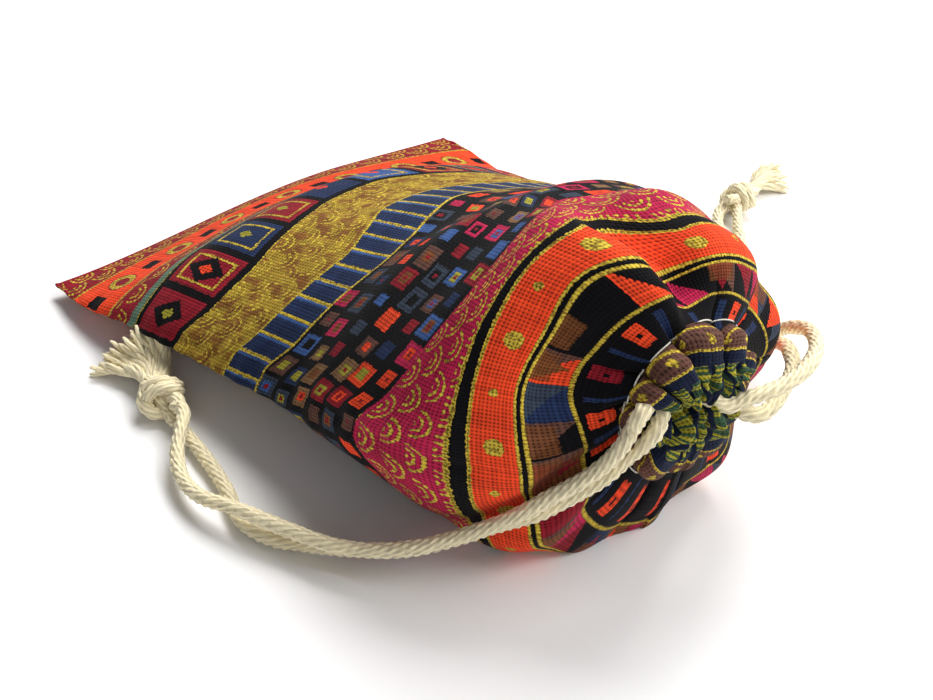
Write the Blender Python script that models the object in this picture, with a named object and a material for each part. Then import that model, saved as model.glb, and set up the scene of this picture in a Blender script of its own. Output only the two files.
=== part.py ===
"""Small drawstring pouch of printed cotton, filled, drawn shut and lying on its face.

The body is one sealed solid, because the mouth is drawn shut and the bag cannot be seen into.
Its casing, the folded hem that holds the cords, is gathered from the same cloth.
Two loops of twisted cotton cord leave the casing at its side gaps. Each loop ends in an
overhand knot and a frayed tassel that rest on the table.

Lengths are in metres. +Z is up, +X runs from the bottom seam to the mouth, and the body's
underside is the table plane.
"""
from collections import namedtuple

import bpy
import numpy as np

MM = 0.001

# Driving dimensions
CORD_DIAMETER = 0.0028
CORD_STEP = 0.0065
CONTACT_GAP = 0.0003
KNOT_LENGTH = 0.0086
KNOT_WIDTH = 0.0090
KNOT_HEIGHT = 0.0074
TASSEL_END_WIDTH = 0.0074
TASSEL_END_THICKNESS = 0.0030
TASSEL_NECK = 0.0046
RIDGE_HEIGHT = 0.0034
RIDGE_VALLEY_DEPTH = 0.0036
SHOULDER_HEIGHT = 0.0015
UNDER_FOLD_DEPTH = 0.0018
STITCH_PLEATS = 11
STITCH_PLEAT_DEPTH = 0.0015
EDGE_GATHERS = 15
EDGE_GATHER_DEPTH = 0.0011
SIDE_GAP_DEPTH = 0.0024
SEAM_LIFT = 0.0080
COLUMNS = 104
# The drawn mouth, in millimetres: where its stitch line lies, its radius there and its height
MOUTH_PLANE = 117.0
RING_RADIUS = 13.8
MOUTH_HEIGHT = 33.0

# One cross-section of the filled cloth, in millimetres. run: distance along the cloth from the
# bottom seam; x: place along the body; lag: how far the crown's cloth trails the side edges;
# side: sideways centre; half: half width; level: height of the section's widest line; rise and
# drop: crown above it and belly below it; taper: 1 for an ellipse, more for a flatter lens.
Station = namedtuple("Station", "run x lag side half level rise drop taper")
STATIONS = (
    Station(0.0, 0.0, 0.0, -6.0, 48.5, 2.6, 1.0, 1.0, 1.5),
    Station(12.0, 11.8, 2.2, -4.5, 49.0, 4.6, 5.2, 3.0, 1.4),
    Station(30.0, 28.5, 4.6, -0.5, 49.0, 8.0, 14.6, 5.9, 1.4),
    Station(50.0, 46.0, 1.2, 2.5, 47.5, 10.0, 20.2, 8.2, 1.5),
    Station(70.0, 64.5, -0.6, 4.5, 45.5, 12.6, 25.8, 12.6, 1.4),
    Station(85.0, 77.8, 0.0, 3.0, 42.5, 16.4, 30.2, 18.0, 1.2),
    Station(100.0, 91.0, 1.6, 0.7, 39.0, 21.0, 30.2, 25.0, 1.1),
    Station(113.0, 102.0, 4.2, -1.4, 32.6, 27.0, 26.0, 33.0, 1.0),
    Station(125.0, 111.5, 3.6, 1.2, 26.4, 31.0, 20.5, 35.5, 1.0),
    Station(134.0, 115.8, 1.8, 2.4, 19.0, 31.5, 16.0, 27.0, 1.0),
    Station(139.5, MOUTH_PLANE, 0.6, 2.4, RING_RADIUS, MOUTH_HEIGHT - 1.0, RING_RADIUS, RING_RADIUS, 1.0),
    Station(144.0, MOUTH_PLANE + 1.6, 0.0, 2.2, RING_RADIUS - 0.4, MOUTH_HEIGHT - 0.6,
            RING_RADIUS - 0.8, RING_RADIUS - 0.6, 1.0),
    Station(149.0, MOUTH_PLANE + 3.8, 0.0, 2.0, RING_RADIUS - 2.2, MOUTH_HEIGHT - 0.2,
            RING_RADIUS - 2.6, RING_RADIUS - 2.6, 1.0),
    Station(153.0, MOUTH_PLANE + 4.6, 0.0, 2.0, RING_RADIUS - 5.3, MOUTH_HEIGHT,
            RING_RADIUS - 5.8, RING_RADIUS - 5.8, 1.0),
    Station(157.0, MOUTH_PLANE + 3.6, 0.0, 2.0, 4.5, MOUTH_HEIGHT, 4.2, 4.2, 1.0),
    Station(161.0, MOUTH_PLANE + 0.5, 0.0, 2.0, 1.2, MOUTH_HEIGHT, 1.2, 1.2, 1.0),
)
# Cloth distances at which the surface is cut into rows, millimetres: (from, to, rows)
ROW_SPANS = ((0.0, 1.5, 1), (1.5, 84.0, 14), (84.0, 112.0, 8), (112.0, 139.5, 13), (139.5, 161.0, 12))

# Routes of the four strands, millimetres, in the stations' own coordinates
LEFT_A = (
    (120.4, -12.2, 36.6), (119.7, -12.4, 33.8), (119.6, -13.8, 31.2), (118.7, -15.6, 27.8),
    (117.3, -18.3, 24.8), (115.0, -21.7, 21.4), (112.9, -24.8, 18.2), (109.6, -28.0, 14.2),
    (106.1, -31.9, 10.8), (102.9, -36.7, 8.6), (93.8, -45.5, 5.8), (86.2, -49.6, 5.0),
    (77.1, -54.4, 4.9), (69.6, -57.6, 3.6), (63.5, -57.6, 3.0), (58.6, -55.9, 3.6),
    (54.4, -53.0, 4.7), (50.2, -50.8, 4.8),
)
LEFT_B = (
    (121.6, -9.7, 33.2), (120.7, -10.5, 30.6), (119.3, -11.9, 27.6), (118.1, -14.3, 24.2),
    (116.4, -17.1, 21.2), (114.7, -19.8, 18.8), (112.9, -22.1, 16.4), (110.6, -24.1, 14.1),
    (107.8, -26.3, 11.5), (105.4, -29.1, 9.2), (103.0, -32.5, 7.3), (98.5, -38.3, 4.9),
    (92.9, -43.5, 3.2), (87.6, -47.7, 2.0), (83.3, -51.2, 1.5), (76.5, -53.6, 1.5),
    (70.4, -52.4, 1.5), (65.0, -51.8, 1.5), (59.3, -51.6, 1.5), (54.1, -51.6, 1.45),
    (49.2, -51.8, 1.45),
)
RIGHT_A = (
    (122.7, 4.8, 32.4), (123.3, 7.8, 32.9), (124.2, 12.0, 33.2), (123.8, 18.0, 33.0),
    (119.4, 28.4, 31.0), (112.6, 36.0, 27.6), (106.4, 40.6, 22.6), (101.0, 45.4, 16.8),
    (95.0, 53.0, 10.0), (88.0, 60.4, 5.4), (79.0, 67.8, 2.6), (70.0, 74.6, 1.6),
    (62.5, 80.6, 1.5), (51.4, 90.2, 2.8),
)
RIGHT_B = (
    (123.7, 11.2, 28.4), (123.2, 15.0, 28.4), (121.2, 19.6, 28.2), (117.9, 25.8, 27.2),
    (111.6, 32.4, 24.8), (105.6, 37.2, 20.2), (99.6, 42.4, 14.2), (93.0, 49.8, 7.8),
    (85.8, 57.4, 3.6), (76.8, 65.0, 1.8), (67.8, 71.9, 1.5), (60.2, 77.9, 1.5), (48.6, 88.3, 2.5),
)
# Each loop's end: the knot's middle, the way the tassel leaves it, and the tassel's far end
LEFT_KNOT, LEFT_TIP = (44.4, -52.0, 4.0), (28.2, -54.4, 4.2)
RIGHT_KNOT, RIGHT_TIP = (47.9, 93.4, 4.0), (44.6, 112.0, 2.8)


def clear_scene():
    """Remove every object of the start-up scene."""
    for obj in list(bpy.data.objects):
        bpy.data.objects.remove(obj, do_unlink=True)


def material(name, colour, roughness, metallic=0.0):
    """Make one Principled material."""
    mat = bpy.data.materials.new(name)
    mat.use_nodes = True
    shader = mat.node_tree.nodes["Principled BSDF"]
    shader.inputs["Base Color"].default_value = (*colour, 1.0)
    shader.inputs["Roughness"].default_value = roughness
    shader.inputs["Metallic"].default_value = metallic
    return mat


def smooth_curve(knots, values, at):
    """Monotone cubic through the knots, read at the given places."""
    gap = np.diff(knots)
    slope = np.diff(values) / gap
    tangent = np.zeros(len(knots))
    near, far = 2 * gap[1:] + gap[:-1], gap[1:] + 2 * gap[:-1]
    same = slope[1:] * slope[:-1] > 0
    left = np.where(same, slope[:-1], 1.0)
    right = np.where(same, slope[1:], 1.0)
    tangent[1:-1] = np.where(same, (near + far) / (near / left + far / right), 0.0)
    tangent[0], tangent[-1] = slope[0], slope[-1]
    i = np.clip(np.searchsorted(knots, at) - 1, 0, len(knots) - 2)
    t = (at - knots[i]) / gap[i]
    return ((2 * t**3 - 3 * t**2 + 1) * values[i] + (t**3 - 2 * t**2 + t) * gap[i] * tangent[i]
            + (3 * t**2 - 2 * t**3) * values[i + 1] + (t**3 - t**2) * gap[i] * tangent[i + 1])


def ease(x, start, end):
    """Smooth step from 0 to 1 between start and end."""
    t = np.clip((x - start) / (end - start), 0.0, 1.0)
    return t * t * (3.0 - 2.0 * t)


def bell(x):
    """Bell of height 1 and unit width."""
    return np.exp(-0.5 * x * x)


def smooth_body(run, turn):
    """Unfolded surface of the filled cloth; turn is 0 under the middle, 0.5 on the crown."""
    table = np.array(STATIONS)
    column = [smooth_curve(table[:, 0], table[:, k], run)[:, None] for k in range(1, 9)]
    x, lag, side, half, level, rise, drop, taper = column
    angle = np.linspace(-np.pi, np.pi, 361)[None]
    cosine = np.cos(angle)
    z = np.where(cosine >= 0, rise, drop) * np.sign(cosine) * np.abs(cosine) ** taper
    y = half * np.sin(angle)
    step = np.hypot(np.diff(y, axis=1), np.diff(z, axis=1))
    length = np.concatenate([np.zeros((len(run), 1)), np.cumsum(step, axis=1)], axis=1)
    length /= length[:, -1:]
    y = np.array([np.interp(turn, length[i], y[i]) for i in range(len(run))])
    z = np.array([np.interp(turn, length[i], z[i]) for i in range(len(run))])
    lift = SEAM_LIFT / MM * ease(y + side, -STATIONS[0].half - 9.5, 14.0)
    z = z + level + np.exp(-((run / 20.0) ** 2))[:, None] * lift
    crown = np.clip(-np.cos(2 * np.pi * turn), 0.0, 1.0)[None]
    return np.stack([x - lag * crown, y + side, z], axis=-1)


def folds(run, turn):
    """Height of the folds and gathers along the surface's normal, millimetres."""
    s, q = run[:, None], turn[None]
    ending = 1 - ease(s, 134, 142)
    ridge_line = np.interp(s, [85, 100, 120, 130, 140], [0.475, 0.470, 0.466, 0.464, 0.455])
    u = q - ridge_line
    d = ease(s, 86, 122) * ending * (
        RIDGE_HEIGHT / MM * bell(u / np.where(u < 0, 0.034, 0.014))
        - RIDGE_VALLEY_DEPTH / MM * bell((u - 0.042) / 0.022))
    d = d + ease(s, 84, 112) * ending * SHOULDER_HEIGHT / MM * bell((q - 0.57) / 0.04)
    line = np.interp(s, [90, 115, 129, 138], [0.13, 0.16, 0.214, 0.236])
    d = d + ease(s, 98, 124) * ending * (
        -2.6 * bell((q - line) / 0.018) + 1.8 * bell((q - line + 0.04) / 0.022)
        + 1.0 * bell((q - line - 0.045) / 0.03))
    d = d - ease(s, 112, 130) * ending * 1.4 * bell((q - 0.36) / 0.03)
    depth = UNDER_FOLD_DEPTH / MM
    for place, share in ((0.66, -0.9), (0.72, 0.8), (0.80, -1.0), (0.87, 0.8), (0.94, -0.9), (0.04, -0.7)):
        near = (q - place + 0.5) % 1.0 - 0.5
        d = d + ease(s, 98, 126) * ending * share * depth * bell(near / 0.022)
    pleats = ease(s, 126, 139) * (1 - ease(s, 143, 150))
    d = d + pleats * STITCH_PLEAT_DEPTH / MM * np.cos(
        2 * np.pi * (STITCH_PLEATS * q + 0.08 * np.sin(2 * np.pi * q) + 0.35))
    gathers = ease(s, 142, 149) * (1 - ease(s, 156, 161))
    d = d + gathers * EDGE_GATHER_DEPTH / MM * np.cos(
        2 * np.pi * (EDGE_GATHERS * q + 0.06 * np.sin(4 * np.pi * q) + 0.1))
    for place in (0.25, 0.75):
        d = d - ease(s, 140, 146) * (1 - ease(s, 156, 161)) * SIDE_GAP_DEPTH / MM * bell((q - place) / 0.028)
    return d


def body_grid():
    """Folded surface as rows of points, metres, resting on the table plane."""
    run = np.concatenate([np.linspace(a, b, n, endpoint=False) for a, b, n in ROW_SPANS]
                         + [np.array([ROW_SPANS[-1][1]])])
    turn = np.arange(-1, COLUMNS + 1) / COLUMNS
    fine_run = np.stack([run - 0.2, run, run + 0.2])
    fine_run = np.clip(fine_run, ROW_SPANS[0][0], ROW_SPANS[-1][1])
    inner = np.clip(turn, 0.0, 1.0)
    before, here, after = (smooth_body(row, inner) for row in fine_run)
    here[:, 0], here[:, -1] = here[:, -3], here[:, 2]
    along = after - before
    around = np.zeros_like(here)
    around[:, 1:-1] = here[:, 2:] - here[:, :-2]
    normal = np.cross(around, along)[:, 1:-1]
    normal /= np.maximum(np.linalg.norm(normal, axis=-1, keepdims=True), 1e-9)
    points = here[:, 1:-1]
    outward = ((points - points.mean(axis=1, keepdims=True)) * normal).sum(axis=-1).mean()
    normal *= 1.0 if outward > 0 else -1.0
    points = points + normal * folds(run, turn[1:-1])[..., None]
    points[..., 2] = np.maximum(points[..., 2], 0.0)
    return points * MM


def add_mesh(name, vertices, faces, mat, smooth=True):
    """Add one mesh object whose faces point outwards."""
    mesh = bpy.data.meshes.new(name)
    mesh.from_pydata([tuple(v) for v in vertices], [], faces)
    mesh.validate()
    mesh.update()
    volume = sum(f.center.dot(f.normal) * f.area for f in mesh.polygons)
    if volume < 0:
        mesh.flip_normals()
    for face in mesh.polygons:
        face.use_smooth = smooth
    mesh.materials.append(mat)
    obj = bpy.data.objects.new(name, mesh)
    bpy.context.scene.collection.objects.link(obj)
    return obj


def body_faces(rows, columns):
    """Quads of the wrapped grid, the strip that shuts the seam and the fan that shuts the mouth."""
    faces = []
    for i in range(rows - 1):
        for j in range(columns):
            k = (j + 1) % columns
            faces.append((i * columns + j, i * columns + k, (i + 1) * columns + k, (i + 1) * columns + j))
    half, quarter = columns // 2, columns // 4
    for j in range(-quarter, quarter):
        a, b = j % columns, (j + 1) % columns
        c, d = (half - j - 1) % columns, (half - j) % columns
        corners = []
        for corner in (b, a, d, c):
            if corner not in corners:
                corners.append(corner)
        faces.append(tuple(corners))
    last, tip = (rows - 1) * columns, rows * columns
    faces.extend((last + j, last + (j + 1) % columns, tip) for j in range(columns))
    return faces


def add_body(mat):
    """Build the pouch and return the shift that puts its footprint's middle on the origin."""
    grid = body_grid()
    rows, columns = grid.shape[:2]
    tip = grid[-1].mean(axis=0)
    vertices = np.vstack([grid.reshape(-1, 3), tip[None]])
    low, high = vertices.min(axis=0), vertices.max(axis=0)
    shift = np.array([-(low[0] + high[0]) / 2, -(low[1] + high[1]) / 2, -low[2]])
    add_mesh("pouch_body", vertices + shift, body_faces(rows, columns), mat)
    return shift


def spline_points(route, step):
    """Even points on a smooth curve through the route."""
    knots = np.array(route, dtype=float) * MM
    chord = np.concatenate([[0.0], np.cumsum(np.linalg.norm(np.diff(knots, axis=0), axis=1))])
    tangent = np.gradient(knots, chord, axis=0)
    fine = np.linspace(0.0, chord[-1], 600)
    i = np.clip(np.searchsorted(chord, fine) - 1, 0, len(chord) - 2)
    gap = (chord[i + 1] - chord[i])[:, None]
    t = (fine[:, None] - chord[i][:, None]) / gap
    curve = ((2 * t**3 - 3 * t**2 + 1) * knots[i] + (t**3 - 2 * t**2 + t) * gap * tangent[i]
             + (3 * t**2 - 2 * t**3) * knots[i + 1] + (t**3 - t**2) * gap * tangent[i + 1])
    length = np.concatenate([[0.0], np.cumsum(np.linalg.norm(np.diff(curve, axis=0), axis=1))])
    count = max(3, int(round(length[-1] / step)) + 1)
    place = np.linspace(0.0, length[-1], count)
    return np.stack([np.interp(place, length, curve[:, k]) for k in range(3)], axis=1)


def add_strand(name, route, shift, mat):
    """One round strand of cord with flat closed ends."""
    points = spline_points(route, CORD_STEP) + shift
    points[:, 2] = np.maximum(points[:, 2], CORD_DIAMETER / 2 + 0.00005)
    curve = bpy.data.curves.new(name, "CURVE")
    curve.dimensions = "3D"
    curve.bevel_depth = CORD_DIAMETER / 2
    curve.bevel_resolution = 2
    curve.use_fill_caps = True
    curve.materials.append(mat)
    spline = curve.splines.new("POLY")
    spline.points.add(len(points) - 1)
    for point, place in zip(spline.points, points):
        point.co = (*place, 1.0)
    spline.use_smooth = True
    obj = bpy.data.objects.new(name, curve)
    bpy.context.scene.collection.objects.link(obj)


def frame_along(direction):
    """Two directions square to the given one, the first level with the table."""
    direction = direction / np.linalg.norm(direction)
    level = np.cross([0.0, 0.0, 1.0], direction)
    level /= np.linalg.norm(level)
    return direction, level, np.cross(direction, level)


def add_lofted(name, rings, mat):
    """Closed solid lofted through rings of points, each end shut by a fan."""
    rings = np.array(rings)
    count, sides = rings.shape[:2]
    vertices = np.vstack([rings.reshape(-1, 3), rings[0].mean(axis=0)[None], rings[-1].mean(axis=0)[None]])
    faces = []
    for i in range(count - 1):
        for j in range(sides):
            k = (j + 1) % sides
            faces.append((i * sides + j, i * sides + k, (i + 1) * sides + k, (i + 1) * sides + j))
    start, end = count * sides, count * sides + 1
    for j in range(sides):
        k = (j + 1) % sides
        faces.append((start, k, j))
        faces.append((end, (count - 1) * sides + j, (count - 1) * sides + k))
    add_mesh(name, vertices, faces, mat)


def add_knot(name, centre, tip, shift, mat):
    """Overhand knot as a plump body with the lobes of its wraps."""
    middle = np.array(centre) * MM + shift
    ahead, level, up = frame_along(np.array(tip, float) - np.array(centre, float))
    turn = np.linspace(0, 2 * np.pi, 28, endpoint=False)
    rings = []
    for along in np.linspace(0.06, 0.94, 13):
        bulge = np.sin(np.pi * along)
        wrap = 1.0 + 0.07 * np.cos(2 * turn + 4.0 * np.pi * along)
        across = KNOT_WIDTH / 2 * bulge * wrap
        height = KNOT_HEIGHT / 2 * bulge * (1.0 + 0.05 * np.cos(3 * turn + 2.0))
        place = -np.cos(np.pi * along) * KNOT_LENGTH / 2
        rings.append(middle + ahead * place + np.outer(np.cos(turn) * across, level)
                     + np.outer(np.sin(turn) * height, up))
    rings = np.array(rings)
    rings[..., 2] = np.maximum(rings[..., 2], 0.0001)
    add_lofted(name, rings, mat)


def add_tassel(name, centre, tip, shift, mat):
    """Frayed end as one fan-shaped solid with the ridges of its yarns."""
    start = np.array(centre) * MM + shift
    end = np.array(tip) * MM + shift
    ahead, level, up = frame_along(end - start)
    start = start + ahead * (KNOT_LENGTH / 2 + CONTACT_GAP)
    turn = np.linspace(0, 2 * np.pi, 36, endpoint=False)
    rings = []
    for along in np.linspace(0.0, 1.0, 9):
        spread = ease(along, 0.0, 1.0)
        width = TASSEL_NECK / 2 + (TASSEL_END_WIDTH - TASSEL_NECK) / 2 * spread
        thick = TASSEL_NECK / 2 + (TASSEL_END_THICKNESS - TASSEL_NECK) / 2 * spread
        yarn = 1.0 + 0.07 * np.cos(9 * turn)
        place = start + (end - start) * along
        rings.append(place + np.outer(np.cos(turn) * width * yarn, level) + np.outer(np.sin(turn) * thick * yarn, up))
    rings = np.array(rings)
    rings[..., 2] = np.maximum(rings[..., 2], 0.0001)
    add_lofted(name, rings, mat)


def main():
    """Build every sub-part."""
    clear_scene()
    cloth = material("printed_cotton", (0.62, 0.16, 0.10), 0.85)
    shift = add_body(cloth)
    for side, strands, knot, tip in (("left", (LEFT_A, LEFT_B), LEFT_KNOT, LEFT_TIP),
                                     ("right", (RIGHT_A, RIGHT_B), RIGHT_KNOT, RIGHT_TIP)):
        for letter, route in zip("ab", strands):
            name = f"{side}_cord_strand_{letter}"
            add_strand(name, route, shift, material(f"{name}_cotton", (0.86, 0.81, 0.68), 0.9))
        add_knot(f"{side}_cord_knot", knot, tip, shift, material(f"{side}_knot_cotton", (0.85, 0.80, 0.67), 0.9))
        add_tassel(f"{side}_cord_tassel", knot, tip, shift,
                   material(f"{side}_tassel_cotton", (0.88, 0.83, 0.70), 0.92))


main()
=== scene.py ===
"""Small drawstring pouch of printed cotton: filled, drawn shut and lying on its face.

The cloth, its gathered casing, the running stitch, the two cord loops with their knots and frayed
ends, the camera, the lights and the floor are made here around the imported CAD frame.

Cloth coordinates are used all through. run is the distance along the cloth from the bottom seam,
in millimetres. turn is the way round it: 0 under the middle, 0.25 on the -Y side seam, 0.5 on
the crown and 0.75 on the +Y side seam.
"""

import logging
from collections.abc import Sequence
from dataclasses import astuple, dataclass, field
from enum import Enum
from typing import TypeAlias

import bpy
import numpy as np
from mathutils import Matrix


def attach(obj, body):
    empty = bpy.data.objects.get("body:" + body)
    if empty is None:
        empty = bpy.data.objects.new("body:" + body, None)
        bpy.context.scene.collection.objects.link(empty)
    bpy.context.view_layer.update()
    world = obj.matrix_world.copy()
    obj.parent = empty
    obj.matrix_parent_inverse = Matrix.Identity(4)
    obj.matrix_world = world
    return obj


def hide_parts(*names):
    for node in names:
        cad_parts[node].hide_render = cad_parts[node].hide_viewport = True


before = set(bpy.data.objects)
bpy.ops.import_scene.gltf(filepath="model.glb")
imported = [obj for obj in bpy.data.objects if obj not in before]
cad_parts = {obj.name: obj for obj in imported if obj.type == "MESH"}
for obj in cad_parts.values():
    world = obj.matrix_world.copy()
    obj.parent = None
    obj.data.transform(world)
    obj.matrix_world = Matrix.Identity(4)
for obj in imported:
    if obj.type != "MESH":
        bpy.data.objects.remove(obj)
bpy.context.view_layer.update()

LOG = logging.getLogger("pouch")
MM = 0.001
SHIFT = np.array([-0.061314, 0.002191, 0.0])
CLOTH_LENGTH = 161.0
CLOTH_ROUND = 220.0
HIDDEN_CLOTH = 0.99
SPECULAR = 0.08
SHEEN_ROUGHNESS = 0.5

Array = np.ndarray
Colour = tuple[float, float, float, float]
Piece = bpy.types.Object
Finish = bpy.types.Material
Socket = bpy.types.NodeSocket
Paint = Socket | Colour
Value: TypeAlias = "Field | float"


def srgb(red: float, green: float, blue: float) -> Colour:
    """Turn a display colour of 0 to 255 into a linear one.

    Args:
        red, green, blue: The display values.

    Returns:
        The linear colour with full cover.
    """
    display = np.array([red, green, blue], float) / 255.0
    linear = np.where(display <= 0.04045, display / 12.92, ((display + 0.055) / 1.055) ** 2.4)
    return (float(linear[0]), float(linear[1]), float(linear[2]), 1.0)


def ease(x: Array, start: float, end: float) -> Array:
    """Smooth step, 3t^2 - 2t^3 of the clamped share t of the way from start to end.

    Args:
        x: Where it is read.
        start, end: Where it leaves 0 and reaches 1.

    Returns:
        Values from 0 to 1.
    """
    t = np.clip((x - start) / (end - start), 0.0, 1.0)
    return t * t * (3.0 - 2.0 * t)


def bell(x: Array) -> Array:
    """Bell of height 1 and unit width, exp(-x^2 / 2)."""
    return np.exp(-0.5 * x * x)


def bells(x: Array, *peaks: tuple[float, float, float]) -> Array:
    """Sum of bells, each given by its height, its place and its width."""
    return sum(height * bell((x - place) / width) for height, place, width in peaks)


def spell(x: Array, start: float, full: float, fade: float, end: float) -> Array:
    """A smooth step up from start to full, and one down again from fade to end."""
    return ease(x, start, full) * (1 - ease(x, fade, end))


def running_total(steps: Array) -> Array:
    """Sums of the steps so far, from 0, along the last axis."""
    return np.insert(np.cumsum(steps, axis=-1), 0, 0.0, axis=-1)


def travelled(path: Array) -> Array:
    """Distance along a path at each of its points."""
    return running_total(np.linalg.norm(np.diff(path, axis=0), axis=1))


def interp_rows(want: Array, known: Array, values: Array) -> Array:
    """Linear interpolation within each row.

    Args:
        want: Where each row is read, 0 to 1.
        known: Where its values hold, 0 to 1.
        values: The values, one row for each row.

    Returns:
        What each row holds at the places wanted.
    """
    row = 2.0 * np.arange(len(values))[:, None]
    found = np.interp((want + row).ravel(), (known + row).ravel(), values.ravel())
    return found.reshape(len(values), -1)


def cubic(t: Array, gap: Array, ends: tuple[Array, Array], slopes: tuple[Array, Array]) -> Array:
    """Cubic between two points with a given slope at each.

    Args:
        t: Share of the way, 0 to 1.
        gap: Length of the way.
        ends, slopes: The values and the slopes at its start and its end.

    Returns:
        The values on the way.
    """
    return ((2 * t**3 - 3 * t**2 + 1) * ends[0] + (t**3 - 2 * t**2 + t) * gap * slopes[0]
            + (3 * t**2 - 2 * t**3) * ends[1] + (t**3 - t**2) * gap * slopes[1])


def smooth_curve(knots: Array, values: Array, at: Array) -> Array:
    """Monotone cubic through the knots, so that a profile never overshoots its stations.

    Args:
        knots, values: The stations and what holds at each.
        at: Where it is read.

    Returns:
        The curve's values.
    """
    gap = np.diff(knots)
    slope = np.diff(values) / gap
    tangent = np.zeros(len(knots))
    near, far = 2 * gap[1:] + gap[:-1], gap[1:] + 2 * gap[:-1]
    same = slope[1:] * slope[:-1] > 0
    left, right = np.where(same, slope[:-1], 1.0), np.where(same, slope[1:], 1.0)
    tangent[1:-1] = np.where(same, (near + far) / (near / left + far / right), 0.0)
    tangent[0], tangent[-1] = slope[0], slope[-1]
    i = np.clip(np.searchsorted(knots, at) - 1, 0, len(knots) - 2)
    t = (at - knots[i]) / gap[i]
    return cubic(t, gap[i], (values[i], values[i + 1]), (tangent[i], tangent[i + 1]))


def smooth_path(route: Array, step: float) -> Array:
    """Even points on the cubic that runs through the route with chord-wise tangents.

    Args:
        route: Points, metres.
        step: Distance between the points that come back, metres.

    Returns:
        Points on the path.
    """
    knots = np.asarray(route, float)
    chord = travelled(knots)
    tangent = np.gradient(knots, chord, axis=0)
    fine = np.linspace(0.0, chord[-1], 1200)
    i = np.clip(np.searchsorted(chord, fine) - 1, 0, len(chord) - 2)
    gap = (chord[i + 1] - chord[i])[:, None]
    t = (fine[:, None] - chord[i][:, None]) / gap
    curve = cubic(t, gap, (knots[i], knots[i + 1]), (tangent[i], tangent[i + 1]))
    length = travelled(curve)
    place = np.linspace(0.0, length[-1], max(3, int(round(length[-1] / step)) + 1))
    return np.stack([np.interp(place, length, curve[:, k]) for k in range(3)], axis=1)


def unit(vectors: Array) -> Array:
    """Vectors scaled to length 1."""
    return vectors / np.maximum(np.linalg.norm(vectors, axis=-1, keepdims=True), 1e-12)


def carried_frame(path: Array) -> tuple[Array, Array]:
    """Two directions square to a path, carried along it without turning about it.

    Each step turns the first direction by as little as keeps it square to the path's next tangent.

    Args:
        path: Points, metres.

    Returns:
        The two directions at each point.
    """
    tangent = unit(np.gradient(path, axis=0))
    side = np.cross(tangent[0], [0.31, 0.22, 0.93])
    first = [side / np.linalg.norm(side)]
    for way in tangent[1:]:
        side = first[-1] - way * np.dot(first[-1], way)
        first.append(side / np.linalg.norm(side))
    first_side = np.array(first)
    return first_side, np.cross(tangent, first_side)


def quads(rows: int, columns: int, start: int = 0) -> tuple[Array, Array, Array]:
    """Quads of a grid whose columns close on themselves.

    Args:
        rows, columns: Size of the grid of vertices.
        start: Index of the grid's first vertex.

    Returns:
        Vertex indices, and the row and the unwrapped column of each corner.
    """
    i, j = np.meshgrid(np.arange(rows - 1), np.arange(columns), indexing="ij")
    row = np.stack([i, i, i + 1, i + 1], axis=-1).reshape(-1, 4)
    column = np.stack([j, j + 1, j + 1, j], axis=-1).reshape(-1, 4)
    return start + row * columns + column % columns, row, column


def add_piece(name: str, vertices: Array, faces: Sequence[Array], corners: Sequence[Array]) -> Piece:
    """Make a smooth mesh piece whose faces point outwards and put it into the scene.

    Args:
        name: The piece's name.
        vertices: Points, metres.
        faces: Arrays of vertex indices, each array with one number of corners.
        corners: For each array of faces, the surface coordinates (u, v) of its corners.

    Returns:
        The new object.
    """
    loops = np.concatenate([f.reshape(-1) for f in faces])
    sizes = np.concatenate([np.full(len(f), f.shape[1]) for f in faces])
    starts = np.concatenate([[0], np.cumsum(sizes)[:-1]])
    mesh = bpy.data.meshes.new(name)
    mesh.vertices.add(len(vertices))
    mesh.vertices.foreach_set("co", np.ascontiguousarray(vertices, np.float32).reshape(-1))
    mesh.loops.add(len(loops))
    mesh.loops.foreach_set("vertex_index", loops.astype(np.int32))
    mesh.polygons.add(len(sizes))
    mesh.polygons.foreach_set("loop_start", starts.astype(np.int32))
    mesh.update(calc_edges=True)
    mesh.polygons.foreach_set("use_smooth", np.ones(len(sizes), bool))
    layer = mesh.uv_layers.new(name="surface")
    layer.data.foreach_set("uv", np.concatenate([c.reshape(-1) for c in corners]).astype(np.float32))
    mesh.validate()
    normals, centres = np.empty(len(mesh.polygons) * 3), np.empty(len(mesh.polygons) * 3)
    areas = np.empty(len(mesh.polygons))
    mesh.polygons.foreach_get("normal", normals)
    mesh.polygons.foreach_get("center", centres)
    mesh.polygons.foreach_get("area", areas)
    if ((normals * centres).reshape(-1, 3).sum(axis=1) * areas).sum() < 0:
        mesh.flip_normals()
    obj = bpy.data.objects.new(name, mesh)
    bpy.context.scene.collection.objects.link(obj)
    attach(obj, "root")
    return obj


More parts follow.
